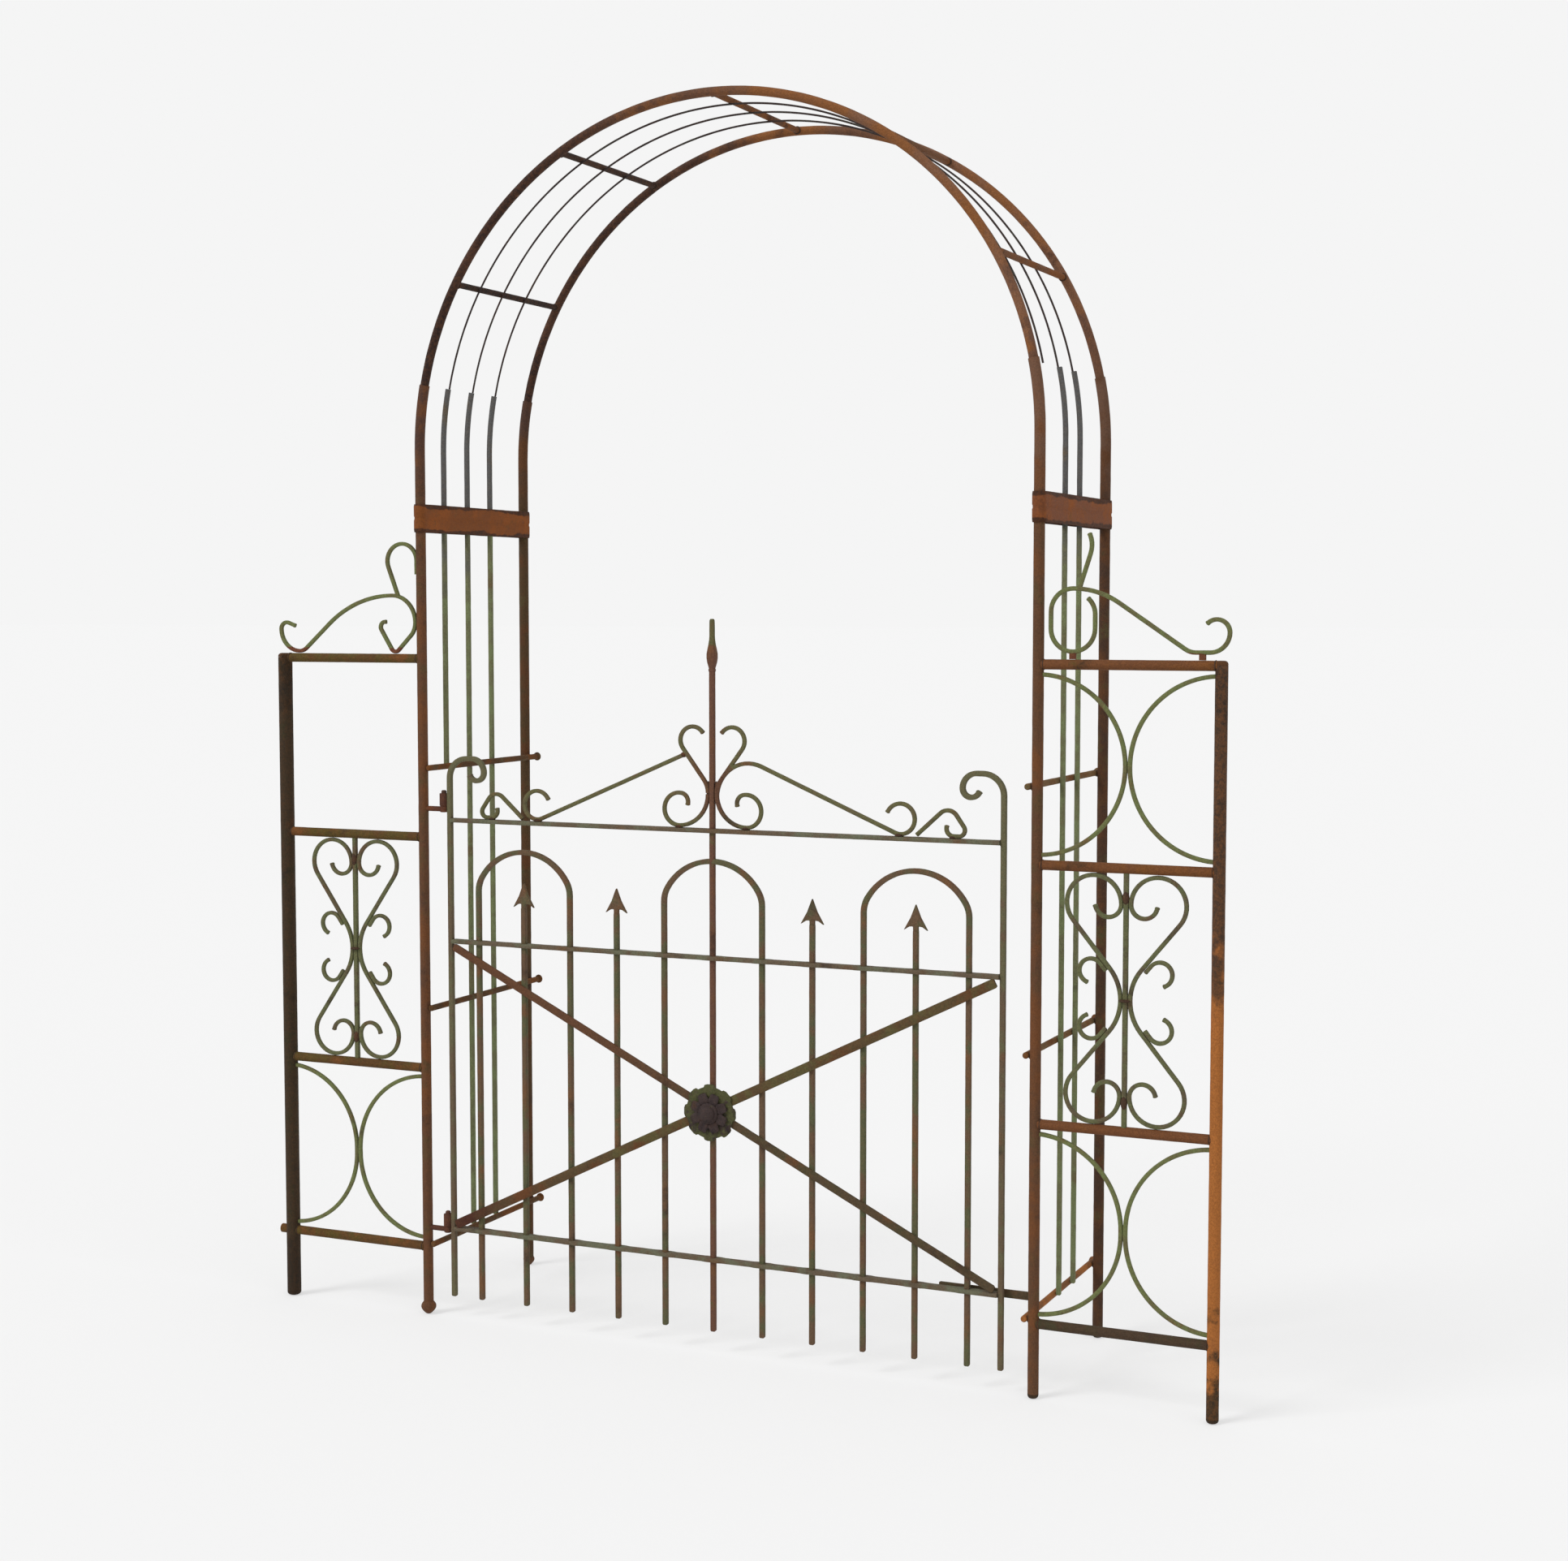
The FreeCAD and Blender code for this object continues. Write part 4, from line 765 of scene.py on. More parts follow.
def drawBand():
    # a tube pulled long so that it wraps both legs, grooved round its middle
    deselect()
    height, half, groove = band["height"], band["width"] / 2, band["groove"]
    bpy.ops.mesh.primitive_cylinder_add(
        vertices=band["sides"], radius=(leg["width"] / 2 + band["thick"]) * mm, depth=2 * half * mm,
        end_fill_type="NOTHING", location=at(legX, frontY, height))
    startEdit()
    selectVertices(lambda place: place.y > frontY + 0.01)
    bpy.ops.transform.translate(value=(0, (backY - frontY) * mm, 0))
    for rise in (-half + band["edge"], -groove, -groove / 2, groove / 2, groove, half - band["edge"]):
        cutAcross((0, 0, (height + rise) * mm), (0, 0, 1))
    for cut in band["cuts"]:
        cutAcross((0, cut * mm, 0), (0, 1, 0))
    selectVertices(lambda place: abs(place.z - height) < groove / 2 + 0.1)
    bpy.ops.transform.shrink_fatten(value=-band["grooveDepth"] * mm)
    selectVertices(lambda place: abs(place.z - height) > half - 0.1)
    bpy.ops.transform.shrink_fatten(value=-band["rim"] * mm)
    strap = closeMesh("rightBand")
    shapeWith(strap, "SOLIDIFY", thickness=band["metal"] * mm, offset=-1)
    shapeWith(strap, "BEVEL", width=band["soft"] * mm, segments=2, limit_method="ANGLE",
              angle_limit=math.radians(band["sharp"]))
    return strap


strap = drawBand()
settle(mirrorCopy(strap, "leftBand"), iron["band"], "arch", ["left_band"],
       marks=band["marks"])
settle(strap, iron["band"], "arch", ["right_band"], marks=band["marks"])

# ball feet: a ball flattened at its foot, with a narrow neck that meets the leg
ball = {"front": 30, "back": 24, "share": 0.97, "sole": 10, "neck": 14, "sides": 28, "rings": 9,
        "first": 20, "sweep": 142}


def drawBallFoot(name, y, width):
    stops = [(0, ball["sole"])]
    for ring in range(1, ball["rings"]):
        angle = math.radians(ball["first"] + ball["sweep"] * ring / ball["rings"])
        stops.append((ring / ball["rings"], width * math.sin(angle)))
    stops.append((1, ball["neck"]))
    return crossBar(name, (-legX, y, 0), (-legX, y, width * ball["share"]), stops, ball["sides"])


balls = [drawBallFoot("frontBall", frontY, ball["front"]),
         drawBallFoot("backBall", backY, ball["back"])]
settle(join("ballFeet", balls), iron["leftFrontLeg"], "arch", ["ball_feet"])
print("columns drawn")

wing = {"leftPost": 28, "rightPost": 22, "postSides": 30, "postTop": 1289, "rail": 18, "railSides": 24,
        "railStart": 6, "overhang": 12, "top": 1280, "upper": 936, "lower": 485, "bottom": 133,
        "rod": 9, "rodEdge": 1.6, "rodSink": 2, "stock": 8, "stockEdge": 2.2, "plug": 8,
        "plugStops": [(0, 1), (0.3, 1), (0.55, 0.95), (0.78, 0.84), (0.93, 0.68), (1, 0.45)]}
lowPlug, highPlug = wing["plug"], wing["postTop"] - wing["plug"]


def drawPlug(x, y, z, width):
    # a cap that rounds off to a small flat, away from the tube
    high = z + math.copysign(wing["plug"], z - wing["upper"])
    stops = [(share, width * narrow) for share, narrow in wing["plugStops"]]
    return crossBar("plug", (x, y, z), (x, y, high), stops, wing["postSides"])


for side, x, finish in (("left", -postX, "post"), ("right", postX, "rightPost")):
    post = crossBar(side + "Post", (x, frontY, lowPlug), (x, frontY, highPlug), wing[side + "Post"],
                    wing["postSides"])
    settle(post, iron[finish], "arch", [side + "_wing_post"])
plugs = [drawPlug(legX, y, lowPlug, leg["width"]) for y in (frontY, backY)]
for x, width in ((-postX, wing["leftPost"]), (postX, wing["rightPost"])):
    plugs += [drawPlug(x, frontY, z, width) for z in (lowPlug, highPlug)]
settle(join("tubePlugs", plugs), iron["post"], "arch", ["tube_plugs"])

for side, sign in (("left", -1), ("right", 1)):
    for place in ("top", "upper", "lower", "bottom"):
        end, finish, height = postX, "rail", wing[place]
        if place == "bottom":  # runs past the left post, and is dark on the right
            end += wing["leftPost"] / 2 + wing["overhang"] if side == "left" else 0
            finish = "rail" if side == "left" else "darkRail"
        rail = crossBar(side + place.capitalize() + "Rail",
                        (sign * (legX + wing["railStart"]), frontY, height),
                        (sign * end, frontY, height), wing["rail"], wing["railSides"])
        settle(rail, iron[finish], "arch", [side + "_wing_" + place + "_rail"])

scroll = {"hearts": {"left": 44, "right": 48}, "inner": 23, "innerSweep": 165, "waistShare": 0.517,
          "hook": 21, "hookSweep": 205, "hookLap": 15, "hookBevel": 1, "hookStart": 0.7,
          "hookSwell": 1.4}
scrollSection = flatSection(wing["stock"], wing["stock"], wing["stockEdge"])
panelMiddle = (wing["upper"] + wing["lower"]) / 2


def drawScrolls(side):
    # the right half of a panel: a long double curve with two hooks on its waist
    half = wing["stock"] / 2
    near = wing["rod"] / 2 + half
    heart = scroll["hearts"][side]
    heartRise = wing["upper"] - wing["rail"] / 2 - half - heart - panelMiddle
    waist = scroll["waistShare"] * heartRise
    across = math.hypot(waist - heart, heartRise)
    straight = math.sqrt(across ** 2 - (heart + waist) ** 2)
    angle = math.degrees(math.atan2(heartRise, heart - waist))
    lean = math.degrees(math.asin((heart + waist) / across))
    turn = 90 - (angle - lean)
    upper = [("arc", waist, -turn), ("line", straight), ("arc", heart, 180 + turn),
             ("arc", scroll["inner"], scroll["innerSweep"])]
    lower = [(kind, length, *[-value for value in change]) for kind, length, *change in upper]
    main = drawBothWays("main", scrollSection, wingMidX + near, panelMiddle, 90, lower, upper)
    hookAngle = math.radians(180 - turn)
    reach = waist - wing["stock"]
    hook = drawBar("hook", scrollSection, wingMidX + near + waist + reach * math.cos(hookAngle),
                   panelMiddle + reach * math.sin(hookAngle), 90 - turn,
                   [("step", scroll["hookBevel"], scroll["hookSwell"]), ("line", scroll["hookLap"]),
                    ("arc", scroll["hook"], -scroll["hookSweep"])] + tip["bends"],
                   scroll["hookStart"])
    lowHook = mirrorCopy(hook, "lowHook", 2, panelMiddle)
    oneSide = join("oneSide", [main, hook, lowHook])
    otherSide = mirrorCopy(oneSide, "otherSide", 0, wingMidX)
    return join(side + "Scrolls", [oneSide, otherSide])


crests = {
    "left": {"rise": 108, "lift": 0, "setback": 35, "flat": 0, "foot": 25, "slope": 41, "turn": 52,
             "heel": 35, "heelTurn": 45, "point": 10, "pointTurn": 103, "back": 44, "tip": 10,
             "tipTurn": 120, "loop": 33, "loopRise": 187, "loopEnd": 26, "lean": 21,
             "curl": [("arc", 43, 90), ("arc", 13, 110), ("line", 14)]},
    "right": {"rise": 107, "lift": 9, "setback": 20, "flat": 25, "foot": 30, "slope": 34, "gap": 8,
              "ring": 39, "ringBack": 24, "ringTip": 36, "ringTurn": 45,
              "pad": 12, "padDepth": 6, "padEdge": 1.2, "padSink": 2,
              "tailSetback": 11, "tailLean": 18, "tail": 62, "tailTip": 45, "tailTurn": 40,
              "curl": [("arc", 33, 90), ("arc", 22, 130)]}}
crestRest = wing["top"] + wing["rail"] / 2 + wing["stock"] / 2
legFace = legX + leg["width"] / 2


def drawCrestBar(side, topX, beyond):
    # from its foot the bar climbs at a slope to its top, then goes on beyond it beside the leg
    shape = crests[side]
    footX, footZ = postX - shape["setback"], crestRest + shape["lift"]
    lean = math.radians(shape["slope"])
    run = footX - shape["flat"] - topX
    both = (run * math.sin(lean) - shape["rise"] * math.cos(lean)) / (1 - math.cos(lean))
    straight = (shape["rise"] - both * (1 - math.cos(lean))) / math.sin(lean)
    climb = [("arc", shape["foot"], -shape["slope"]), ("line", straight),
             ("arc", both - shape["foot"], shape["slope"])]
    if shape["flat"]:
        climb.insert(0, ("line", shape["flat"]))
    return drawBothWays("crestBar", scrollSection, footX, footZ, 0, climb + beyond, shape["curl"])


def drawLeftCrest():
    # the bar leans on the leg and turns up again at a sharp point; a loop stands on its top
    shape = crests["left"]
    topX = legFace + wing["stock"] / 2 + shape["turn"]
    down = math.radians(90 - shape["heelTurn"])
    drop = (shape["rise"] - shape["turn"] - shape["heel"] * math.cos(down)
            - shape["point"] * (1 - math.cos(down)))
    bar = drawCrestBar("left", topX, [
        ("arc", shape["turn"], 90), ("arc", shape["heel"], shape["heelTurn"]),
        ("line", drop / math.sin(down)), ("arc", shape["point"], shape["pointTurn"]),
        ("line", shape["back"]), ("arc", shape["tip"], shape["tipTurn"])])
    lean = math.radians(shape["lean"])
    meetX = legFace + shape["loop"] * (1 + math.cos(lean))
    meetZ = wing["top"] + shape["loopRise"] - shape["loop"] * math.sin(lean)
    top = crestRest + shape["rise"]
    length = (meetZ - top) / math.cos(lean)
    loop = drawBar("loop", scrollSection, meetX - length * math.sin(lean), top, 90 - shape["lean"],
                   [("line", length), ("arc", shape["loop"], 180 + shape["lean"]),
                    ("line", shape["loopEnd"])])
    return join("leftCrest", [bar, loop])


def drawRightCrest():
    # the bar stands on two pads and ends in an oval ring; a free tail stands on it
    shape = crests["right"]
    ring = shape["ring"]
    topX = legFace + shape["gap"] + wing["stock"] / 2 + ring
    bar = drawCrestBar("right", topX, [
        ("arc", ring, 90), ("line", shape["rise"] - 2 * ring), ("arc", ring, 180),
        ("line", shape["ringBack"]), ("arc", shape["ringTip"], shape["ringTurn"])])
    pads = []
    for x in (topX, postX - shape["setback"] - shape["flat"] / 2):
        pads.append(drawBar("pad", flatSection(shape["pad"], shape["padDepth"], shape["padEdge"]),
                            x, crestRest - wing["stock"] / 2, 90,
                            [("line", shape["lift"] + shape["padSink"])]))
    tail = drawBar("tail", scrollSection, topX + shape["tailSetback"],
                   crestRest + shape["lift"] + shape["rise"], 90 - shape["tailLean"],
                   [("line", shape["tail"]), ("arc", shape["tailTip"], shape["tailTurn"])]
                   + tip["bends"])
    return join("rightCrest", [bar, tail] + pads)


bowGap = 4  # above and below a bow in its panel


def drawBows(side):
    # back to back in the panel, each with its ends on the leg or on the post
    bars = []
    for high, low in (("lower", "bottom"), ("top", "upper"))[:2 if side == "right" else 1]:
        reach = postX - wingMidX - wing["stock"] / 2
        room = (wing[high] - wing[low] - wing["rail"]) / 2 - wing["stock"] / 2 - bowGap
        radius = min(reach, room)
        bends = [("arc", radius, 90), ("arc", radius, 90)]
        if room > radius:
            bends.insert(1, ("line", 2 * (room - radius)))
        inner = drawBar("innerBow", scrollSection, legX, (wing[high] + wing[low]) / 2 - room, 0, bends)
        bars += [inner, mirrorCopy(inner, "outerBow", 0, wingMidX)]
    return join(side + "Bows", bars)


def drawWingRod(side):
    # its ends are sunk in the rails
    low = wing["lower"] + wing["rail"] / 2 - wing["rodSink"]
    high = wing["upper"] - wing["rail"] / 2 + wing["rodSink"]
    return drawBar(side + "WingRod", flatSection(wing["rod"], wing["rod"], wing["rodEdge"]), wingMidX,
                   low, 90, [("line", high - low)])


wingFinish = {"scrolls": "scroll", "crest": "wingCrest", "arcs": "crest", "rod": "scroll"}
for side in ("right", "left"):
    crest = drawLeftCrest() if side == "left" else drawRightCrest()
    drawn = {"scrolls": drawScrolls(side), "crest": crest, "arcs": drawBows(side),
             "rod": drawWingRod(side)}
    for kind, piece in drawn.items():
        if side == "left":
            piece = mirrorPiece(piece)
        settle(piece, iron[wingFinish[kind]], "arch",
               [side + "_wing_" + kind])
print("wings drawn")

gate = {"half": 560, "stock": 10, "edge": 1.5, "pitch": 99.5, "foot": 41, "top": 971, "middle": 737,
        "bottom": 176, "railThick": 8, "railDepth": 20.6, "railEdge": 1.6, "swell": 13, "taper": 8,
        "narrow": 0.8, "hoopTop": 920, "shoulder": 50, "rise": 78}
barSection = flatSection(gate["stock"], gate["stock"], gate["edge"])
barStart = gate["foot"] + foot["length"]

stile = {"bend": 1052, "curl": 38, "flat": 12, "middle": 26, "tip": 16, "tipSweep": 150}
right = drawUpright("latchStile", barSection, gate["half"], gate["foot"], [
    ("line", stile["bend"] - barStart), ("arc", stile["curl"], 90), ("line", stile["flat"]),
    ("arc", stile["middle"], 90), ("arc", stile["tip"], stile["tipSweep"])] + tip["bends"])
settle(mirrorCopy(right, "hingeStile"), iron["stile"], "gate", ["hinge_stile"])
settle(right, iron["stile"], "gate", ["latch_stile"])


def drawGateHoop(name, centreX):
    span, rise, shoulder = gate["pitch"], gate["rise"], gate["shoulder"]
    crown = (span ** 2 + rise ** 2 - 2 * span * shoulder) / (2 * (rise - shoulder))
    turn = math.degrees(math.atan2(crown - rise, span - shoulder))
    rod = gate["hoopTop"] - gate["stock"] / 2 - rise - barStart
    bends = [("line", rod), ("arc", shoulder, turn), ("arc", crown, 180 - 2 * turn),
             ("arc", shoulder, turn), ("line", rod)] + backwards(foot["bends"])
    return drawUpright(name, barSection, centreX + span, gate["foot"], bends)


for place, steps in (("left", -4), ("centre", 0), ("right", 4)):
    settle(drawGateHoop(place + "GateHoop", steps * gate["pitch"]), iron["gateBar"], "gate",
           [place + "_gate_hoop"])

spear = {"tip": 857, "length": 54, "thick": 8, "soft": 1.8, "neck": ("step", 6, 0.96),
         "places": (-4, -2, 2, 4),
         "outline": [(0, 54), (9.66, 29.7), (23, 6.5), (12.65, 13), (5, 14), (5, 0)]}


def drawSpear(name, x):
    # a barbed head forged flat; its shaft is the bar itself
    neck = spear["tip"] - spear["length"]
    shaft = drawUpright(name, barSection, x, gate["foot"],
                        [("line", neck - barStart), spear["neck"]])
    corners = spear["outline"] + [(-reach, rise) for reach, rise in reversed(spear["outline"][1:])]
    deselect()
    bpy.ops.mesh.primitive_circle_add(vertices=len(corners), radius=20 * mm, fill_type="NGON",
                                      location=at(x, frontY - spear["thick"] / 2, neck),
                                      rotation=(math.radians(90), 0, 0))
    applyPlace()
    for vertex, (reach, rise) in zip(bpy.context.object.data.vertices, corners):
        vertex.co.x = (x + reach) * mm
        vertex.co.z = (neck + rise) * mm
    startEdit()
    extrude(at(0, spear["thick"], 0))
    head = closeMesh("spearHead")
    shapeWith(head, "BEVEL", width=spear["soft"] * mm, segments=2)
    return join(name, [shaft, head])


spears = [drawSpear("spear", steps * gate["pitch"]) for steps in spear["places"]]
settle(join("gateSpears", spears), iron["gateBar"], "gate", ["gate_spears"])

# the centre bar's collar, belly and drawn-out point
finial = {"tip": 1357, "length": 96, "collar": 1.14, "collarBevel": 0.8, "collarFlat": 4.2, "lance": [
    ("step", 4, 1.2), ("step", 7, 1.27), ("step", 8, 1.13), ("step", 8, 1), ("step", 8, 0.86),
    ("step", 8, 0.8), ("step", 8, 0.82), ("step", 8, 0.9), ("step", 12, 0.99), ("step", 12, 0.98),
    ("step", 4, 0.95), ("step", 2, 0.85), ("step", 1.2, 0.65)]}
shaft = [("line", finial["tip"] - finial["length"] - barStart),
         ("step", finial["collarBevel"], finial["collar"]), ("step", finial["collarFlat"], 1),
         ("step", finial["collarBevel"], 1 / finial["collar"])]
centre = drawUpright("gateCentreBar", barSection, 0, gate["foot"], shaft + finial["lance"])
settle(centre, iron["centreBar"], "gate", ["gate_centre_bar"])


def drawGateRail(name, height, places):
    # hot-punched: the flat swells where each upright goes through, and narrows between them
    section = flatSection(gate["railThick"], gate["railDepth"], gate["railEdge"])
    inner = gate["half"] - gate["stock"] / 2
    swell, taper, pitch = gate["swell"], gate["taper"], gate["pitch"]
    pen = startBar(section, -inner, height, 0)
    drawStraight(pen, inner + places[0] * pitch - swell - taper)
    for place in places:
        drawStep(pen, taper, 1, 1 if place == places[0] else 1 / gate["narrow"])
        drawStraight(pen, 2 * swell, 3)
        if place < places[-1]:
            drawStep(pen, taper, 1, gate["narrow"])
            drawStraight(pen, pitch - 2 * swell - 2 * taper)
    drawStraight(pen, inner - pen["x"])
    return closeMesh(name)


for place, crossed in (("top", [0]), ("middle", range(-5, 6)), ("bottom", range(-5, 6))):
    settle(drawGateRail("gate" + place.capitalize() + "Rail", gate[place], crossed),
           iron["gateRail"], "gate", ["gate_" + place + "_rail"])

brace = {"rising": 18, "falling": 15, "thick": 6, "front": -204, "edge": 1.4, "short": 12,
         "lapPlay": 4, "taper": 4, "tip": 0.8}


def drawBrace(name, rising):
    # half as thick where the two cross; the falling one passes in front
    panelTop = gate["middle"] - gate["railThick"] / 2
    panelBottom = gate["bottom"] + gate["railThick"] / 2
    drop = (panelTop - panelBottom) / 2
    angle = math.degrees(math.atan2(drop, gate["half"]))
    width = brace["rising" if rising else "falling"]
    lap = brace["rising"] / math.sin(math.radians(2 * angle)) / 2 + brace["lapPlay"]
    reach = math.hypot(gate["half"], drop) - brace["short"]
    lean = angle if rising else -angle
    startX = -reach * math.cos(math.radians(lean))
    startZ = (panelTop + panelBottom) / 2 - reach * math.sin(math.radians(lean))
    keep = brace["front"] + (brace["thick"] if rising else 0)
    pen = startBar(flatSection(width, brace["thick"], brace["edge"]), startX, startZ, lean,
                   brace["tip"], brace["front"] + brace["thick"] / 2)
    drawStep(pen, brace["taper"], 1 / brace["tip"])
    drawStraight(pen, reach - lap - brace["taper"])
    for scale, length in ((0.5, 2 * lap), (2, 0)):
        extrude((0, 0, 0))
        resize((1, scale, 1), at(0, keep, 0))
        if length:
            drawStraight(pen, length, 1)
    drawStraight(pen, reach - lap - brace["taper"])
    drawStep(pen, brace["taper"], brace["tip"])
    return closeMesh(name)


settle(drawBrace("risingBrace", True), iron["risingBrace"], "gate", ["rising_brace"])
settle(drawBrace("fallingBrace", False), iron["fallingBrace"], "gate", ["falling_brace"])
print("gate bars drawn")

# rosette: two layers of cast petals round a boss; shares are of a petal's or the boss's length
rosette = {"height": 453, "front": -204, "wide": 106, "upperShare": 0.72, "petals": 8, "thick": 6,
           "bossSink": 3, "bossHeight": 12, "bossSides": 32, "back": 1.82, "backDepth": 4,
           "backSides": 48, "petalLength": 0.74, "petalWidth": 2.02, "marks": 0.6, "corner": 50,
           "plump": 1.1, "dish": 1.1, "dishShare": 0.2, "sink": 0.3, "root": 0.66, "rootShare": 0.2,
           "swells": ((0.24, 1.14), (0.36, 1.16), (0.45, 1.3)),
           "bossStops": [(0, 40), (0.2, 40), (0.3, 37), (0.36, 31), (0.45, 31), (0.6, 29), (0.75, 24),
                         (0.87, 17), (0.95, 10), (1, 5)]}


def drawPetal(length, width, y):
    # a flattened ball, drawn in towards the centre, swollen outwards and hollowed along its middle
    deselect()
    bpy.ops.mesh.primitive_uv_sphere_add(segments=24, ring_count=14, radius=0.5, location=(0, 0, 0))
    startEdit()
    resize(at(width, rosette["thick"] * rosette["plump"], length))
    selectVertices(lambda place: place.z < -length * rosette["rootShare"])
    resize((rosette["root"], 1, 1))
    for share, swell in rosette["swells"]:
        selectVertices(lambda place: place.z > length * share)
        resize((swell, 1, 1))
    selectVertices(lambda place: abs(place.x) < width * rosette["dishShare"] and place.y < 0)
    bpy.ops.transform.translate(value=(0, rosette["dish"] * mm, 0))
    selectAll()
    bpy.ops.transform.translate(value=(0, y * mm, 0))
    return closeMesh("petal")


def drawPetalRing(outer, y, turnStart):
    # one petal, copied round
    sine = math.sin(math.pi / rosette["petals"])
    length = outer * rosette["petalLength"]
    first = drawPetal(length, outer * sine / (1 + sine) * rosette["petalWidth"], y)
    away = outer - length / 2
    ring = []
    for index in range(rosette["petals"]):
        petal = copyPiece(first, "petal")
        angle = math.radians(turnStart + 360 * index / rosette["petals"])
        petal.rotation_euler = (0, math.pi / 2 - angle, 0)
        petal.location = at(away * math.cos(angle), 0, rosette["height"] + away * math.sin(angle))
        applyPlace()
        ring.append(petal)
    bpy.data.objects.remove(first)
    return ring


def drawRosette():
    wide, front, thick = rosette["wide"] / 2, rosette["front"], rosette["thick"]
    height = rosette["height"]
    lower = drawPetalRing(wide, front - thick / 2 + rosette["sink"], 0)
    upper = drawPetalRing(wide * rosette["upperShare"], front - thick * 1.5 + rosette["sink"],
                          180 / rosette["petals"])
    back = crossBar("rosetteBack", (0, front, height), (0, front - rosette["backDepth"], height),
                    wide * rosette["back"], rosette["backSides"])
    bossRest = front - 2 * thick
    boss = crossBar("boss", (0, bossRest + rosette["bossSink"], height),
                    (0, bossRest - rosette["bossHeight"], height), rosette["bossStops"],
                    rosette["bossSides"])
    return join("gateRosette", lower + upper + [back, boss])


settle(drawRosette(), iron["rosette"], "gate", ["gate_rosette"],
       marks=rosette["marks"], texture=weldMarks, corner=rosette["corner"])
print("rosette drawn")

# crest of the gate: right half drawn, left half mirrored but for its pediment
top = {"shoulder": 64, "curl": 27, "curlX": 368, "curlSweep": 240, "leftReach": 60, "leftRise": 137,
       "heartRise": 69, "heartRoot": 40, "heartLean": 37, "heartSide": 71, "heart": 25,
       "heartSweep": 140, "low": 30, "lowX": 68, "lowSweep": 190, "lowTip": 16, "lowTipSweep": 90,
       "endFoot": 399, "endRise": 45, "endLean": 42, "endTop": 20, "endFall": 55, "endBottom": 11,
       "endFlat": 10, "endTip": 13, "endTipSweep": 100}


def drawGateCrest():
    stock, curl, curlX = wing["stock"], top["curl"], top["curlX"]
    rest = gate["top"] + gate["railThick"] / 2 + stock / 2
    near = gate["stock"] / 2 + stock / 2
    rootZ, curlZ = gate["top"] + top["heartRise"], rest + curl
    heart = drawBar("heart", scrollSection, near, rootZ, 90,
                    [("arc", top["heartRoot"], -top["heartLean"]), ("line", top["heartSide"]),
                     ("arc", top["heart"], top["heartLean"] + top["heartSweep"])] + tip["bends"])
    # the right pediment turns over a shoulder, the left one starts as a straight bar at the heart
    run, drop = curlX - near - top["shoulder"], rootZ - stock - curlZ
    across, both = math.hypot(run, drop), top["shoulder"] + curl
    slope = math.degrees(math.asin(both / across) + math.atan2(drop, run))
    pediment = drawBar("pediment", scrollSection, near, rootZ - stock, 90,
                       [("arc", top["shoulder"], -(90 + slope)),
                        ("line", math.sqrt(across ** 2 - both ** 2)),
                        ("arc", curl, top["curlSweep"] + slope)] + tip["bends"])
    leftZ = gate["top"] + top["leftRise"]
    run, drop = curlX - top["leftReach"], leftZ - curlZ
    across = math.hypot(run, drop)
    slope = math.degrees(math.atan2(drop, run) + math.asin(curl / across))
    leftPediment = drawBar("leftPediment", scrollSection, top["leftReach"], leftZ, -slope,
                           [("line", math.sqrt(across ** 2 - curl ** 2)),
                            ("arc", curl, top["curlSweep"] + slope)] + tip["bends"])
    root = top["lowX"] - near
    lowCurl = drawBar("lowCurl", scrollSection, near, rest + root, -90,
                      [("arc", root, 90), ("arc", top["low"], top["lowSweep"]),
                       ("arc", top["lowTip"], top["lowTipSweep"])] + tip["bends"])
    lean, fall = math.radians(top["endLean"]), math.radians(top["endFall"])
    climb = (top["endRise"] - top["endTop"] * (1 - math.cos(lean))) / math.sin(lean)
    drop = (top["endRise"] - top["endTop"] * (1 - math.cos(fall))
            - top["endBottom"] * (1 + math.cos(fall)))
    endScroll = drawBar("endScroll", scrollSection, top["endFoot"], rest, top["endLean"],
                        [("line", climb), ("arc", top["endTop"], -(top["endLean"] + top["endFall"])),
                         ("line", drop / math.sin(fall)),
                         ("arc", top["endBottom"], top["endFall"] - 180), ("line", top["endFlat"]),
                         ("arc", top["endTip"], -top["endTipSweep"])] + tip["bends"])
    shared = join("sharedCrest", [heart, lowCurl, endScroll])
    left = mirrorPiece(join("leftCrest", [copyPiece(shared, "leftShared"), leftPediment]))
    return join("gateCrest", [shared, pediment, left])


settle(drawGateCrest(), iron["gateCrest"], "gate", ["gate_crest"])
print("gate crest drawn")

hinge = {"x": -573.55, "pin": 10, "pinTip": 7, "bore": 10.1, "wall": 3.5, "turns": 32,
         "length": 24, "edge": 0.8, "gap": 0.3, "arm": 10, "armSides": 20, "armEnd": 6,
         "heights": (190, 1010), "standUp": 6, "collar": 16, "collarFoot": 13, "collarTop": 14.6,
         "footBevel": 1.2, "topBevel": 0.8, "tipBevel": 2, "lip": 1, "sides": 28}


def drawEye(height):
    # a flat bar's section with soft edges, spun round the pin
    deselect()
    wall = hinge["wall"]
    place = at(hinge["x"] + hinge["bore"] / 2 + wall / 2, frontY, height)
    bpy.ops.mesh.primitive_plane_add(size=wall * mm, location=place, rotation=(math.radians(90), 0, 0))
    startEdit()
    resize((1, 1, hinge["length"] / wall), place)
    bpy.ops.mesh.bevel(offset=hinge["edge"] * mm, segments=2, affect="VERTICES")
    selectAll()
    bpy.ops.mesh.delete(type="ONLY_FACE")
    selectAll()
    bpy.ops.mesh.spin(steps=hinge["turns"], angle=math.radians(360), axis=(0, 0, 1),
                      center=at(hinge["x"], frontY, height))
    return closeMesh("eye")


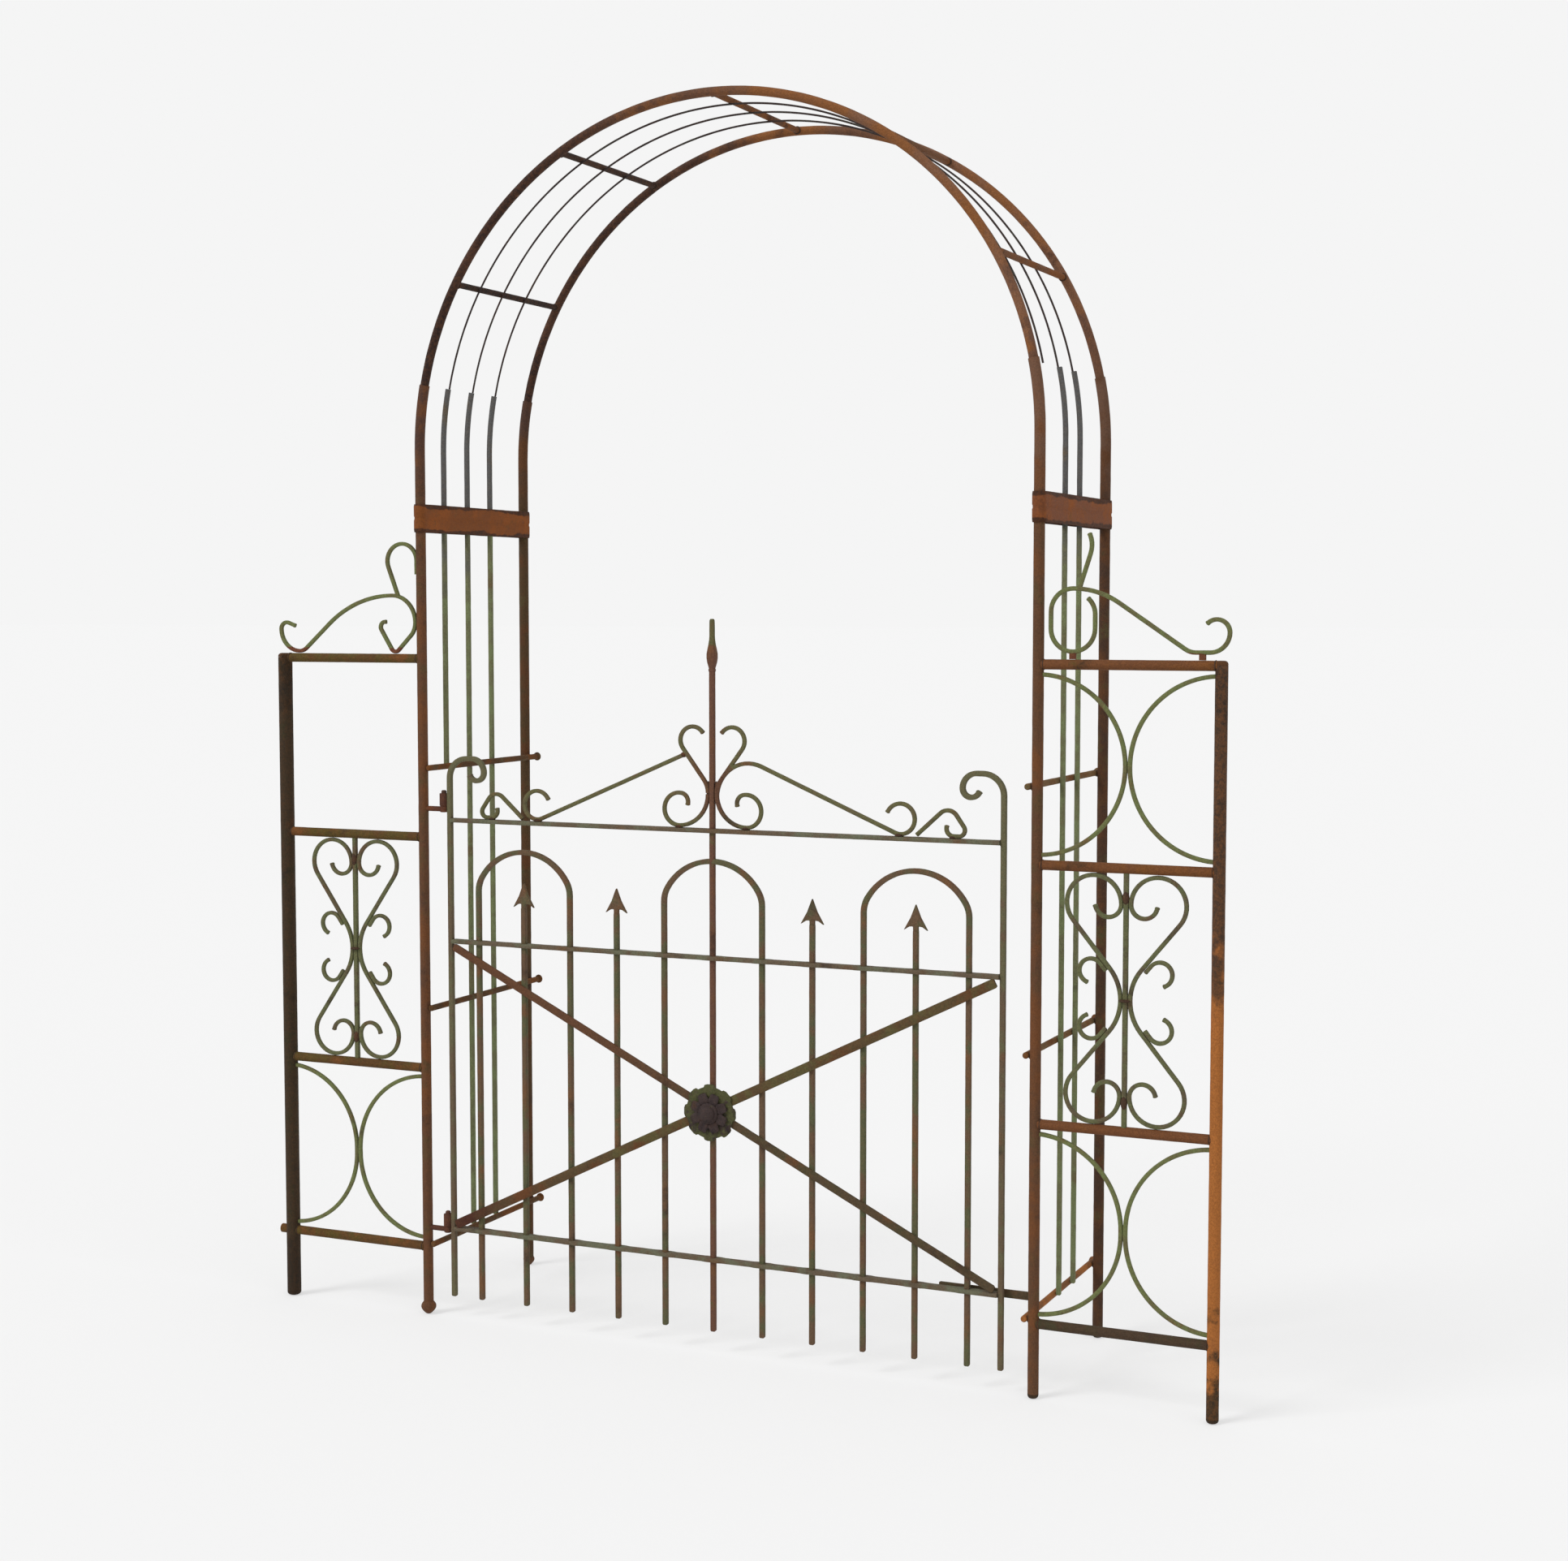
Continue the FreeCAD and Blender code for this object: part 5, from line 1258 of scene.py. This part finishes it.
def drawPintle(height):
    # an arm from the leg, and a pin that stands up from its collar through the eye
    x, pin, collar, lip = hinge["x"], hinge["pin"], hinge["collar"], hinge["lip"]
    seat = height - hinge["length"] / 2 - hinge["gap"]
    armHeight = seat - hinge["arm"] / 2 - lip
    arm = crossBar("arm", (x, frontY, armHeight), (-legX + hinge["armEnd"], frontY, armHeight),
                   hinge["arm"], hinge["armSides"])
    low = armHeight - hinge["arm"] / 2 - lip
    pinTop = height + hinge["length"] / 2 + hinge["standUp"]
    tall = pinTop - low
    rise = seat - low
    stops = [(0, hinge["collarFoot"]), (hinge["footBevel"] / tall, collar),
             ((rise - hinge["topBevel"]) / tall, collar), (rise / tall, hinge["collarTop"]),
             ((rise + 0.02) / tall, pin), (1 - hinge["tipBevel"] / tall, pin), (1, hinge["pinTip"])]
    return [arm, crossBar("pin", (x, frontY, low), (x, frontY, pinTop), stops, hinge["sides"])]


eyes = []
pintles = []
for height in hinge["heights"]:
    eyes.append(drawEye(height))
    pintles += drawPintle(height)
settle(join("hingeEyes", eyes), iron["hinge"], "gate", ["hinge_eyes"], marks=0)
settle(join("hingePintles", pintles), iron["hinge"], "arch", ["hinge_pintles"], marks=0)

stop = {"from": 440, "to": 616, "width": 15, "thick": 6, "y": -182.7, "taper": 2, "tip": 0.85}
stopBends = [("step", stop["taper"], 1 / stop["tip"]),
             ("line", stop["to"] - stop["from"] - 2 * stop["taper"]),
             ("step", stop["taper"], stop["tip"])]
stopBar = drawBar("gateStopBar", flatSection(stop["width"], stop["thick"]), stop["from"],
                  gate["bottom"], 0, stopBends, stop["tip"], stop["y"] + stop["thick"] / 2)
settle(stopBar, iron["fallingBrace"], "gate", ["gate_stop_bar"])

# welds: beads hold radius and thickness, lumps width and height, and the gate's lumps also their x
# and their rise over the top rail; insets say how far a weld sits from its bar's middle or end
weld = {"archRung": (6.4, 2.2), "legRail": (8.6, 1.7), "postRail": (8.8, 1.7), "socket": (8.6, 1.3),
        "columnRung": (9, 15), "waist": (22, 7), "wingRod": (13, 26), "gateRail": (9, 13),
        "gateCrest": ((8, 72, 9, 40), (68, 6, 16, 8), (366, 6, 18, 8), (466, 6, 14, 8)),
        "pediment": (2, 1, 13, 11), "hoopInset": 8.3, "legInset": 10, "postInset": 1, "rungInset": 9,
        "rodInset": 50, "gateInset": 5, "waistProud": 3, "rodProud": 2, "socketLean": 0.2,
        "socketDrop": 1, "lumpDepth": 0.9, "marks": 1.1, "corner": 60}


def weldBead(x, y, z, along, kind):
    deselect()
    radius, thick = weld[kind]
    bpy.ops.mesh.primitive_torus_add(major_segments=26, minor_segments=8, major_radius=radius * mm,
                                     minor_radius=thick * mm, location=Vector((x, y, z)) * mm,
                                     rotation=Vector(along).to_track_quat("Z", "Y").to_euler())
    applyPlace()
    return bpy.context.object


def weldLump(x, y, z, width, height):
    deselect()
    bpy.ops.mesh.primitive_ico_sphere_add(subdivisions=3, radius=0.5, location=(0, 0, 0))
    lump = bpy.context.object
    lump.scale = at(width, width * weld["lumpDepth"], height)
    lump.location = at(x, y, z)
    applyPlace()
    return lump


archWelds = []
for lean in hoop["rungs"]:
    x, z = onArch(90 - lean)
    for y in (frontY + weld["hoopInset"], backY - weld["hoopInset"]):
        archWelds.append(weldBead(x, y, z, (0, 1, 0), "archRung"))
for sign, width in ((-1, wing["leftPost"]), (1, wing["rightPost"])):
    for place in ("top", "upper", "lower", "bottom"):
        for x, kind in ((legX + weld["legInset"], "legRail"),
                        (postX - width / 2 + weld["postInset"], "postRail")):
            archWelds.append(weldBead(sign * x, frontY, wing[place], (1, 0, 0), kind))
    for place in ("upper", "middle", "lower"):
        for y in (frontY, backY):
            archWelds.append(weldLump(sign * (legX - weld["rungInset"]), y, column[place],
                                      *weld["columnRung"]))
    x, z = onArch(leg["curve"])
    for y in (frontY, backY):
        archWelds.append(weldBead(sign * x, y, z - weld["socketDrop"],
                                  (-weld["socketLean"] * sign, 0, 1), "socket"))
    archWelds.append(weldLump(sign * wingMidX, frontY - weld["waistProud"], panelMiddle,
                              *weld["waist"]))
    for z in (wing["upper"] - weld["rodInset"], wing["lower"] + weld["rodInset"]):
        archWelds.append(weldLump(sign * wingMidX, frontY - weld["rodProud"], z, *weld["wingRod"]))
settle(join("archWelds", archWelds), iron["weld"], "arch", marks=weld["marks"],
       texture=weldMarks, corner=weld["corner"])

gateWelds = []
for sign in (-1, 1):
    for place in ("top", "middle", "bottom"):
        gateWelds.append(weldLump(sign * (gate["half"] - weld["gateInset"]), frontY, gate[place],
                                  *weld["gateRail"]))
    for x, rise, width, height in weld["gateCrest"]:
        gateWelds.append(weldLump(sign * x, frontY, gate["top"] + rise, width, height))
inwards, rise, width, height = weld["pediment"]  # joins the left pediment to the heart
gateWelds.append(weldLump(inwards - top["leftReach"], frontY, gate["top"] + top["leftRise"] + rise,
                          width, height))
settle(join("gateWelds", gateWelds), iron["weld"], "gate", marks=weld["marks"],
       texture=weldMarks, corner=weld["corner"])
print("hinges, stop and welds drawn")
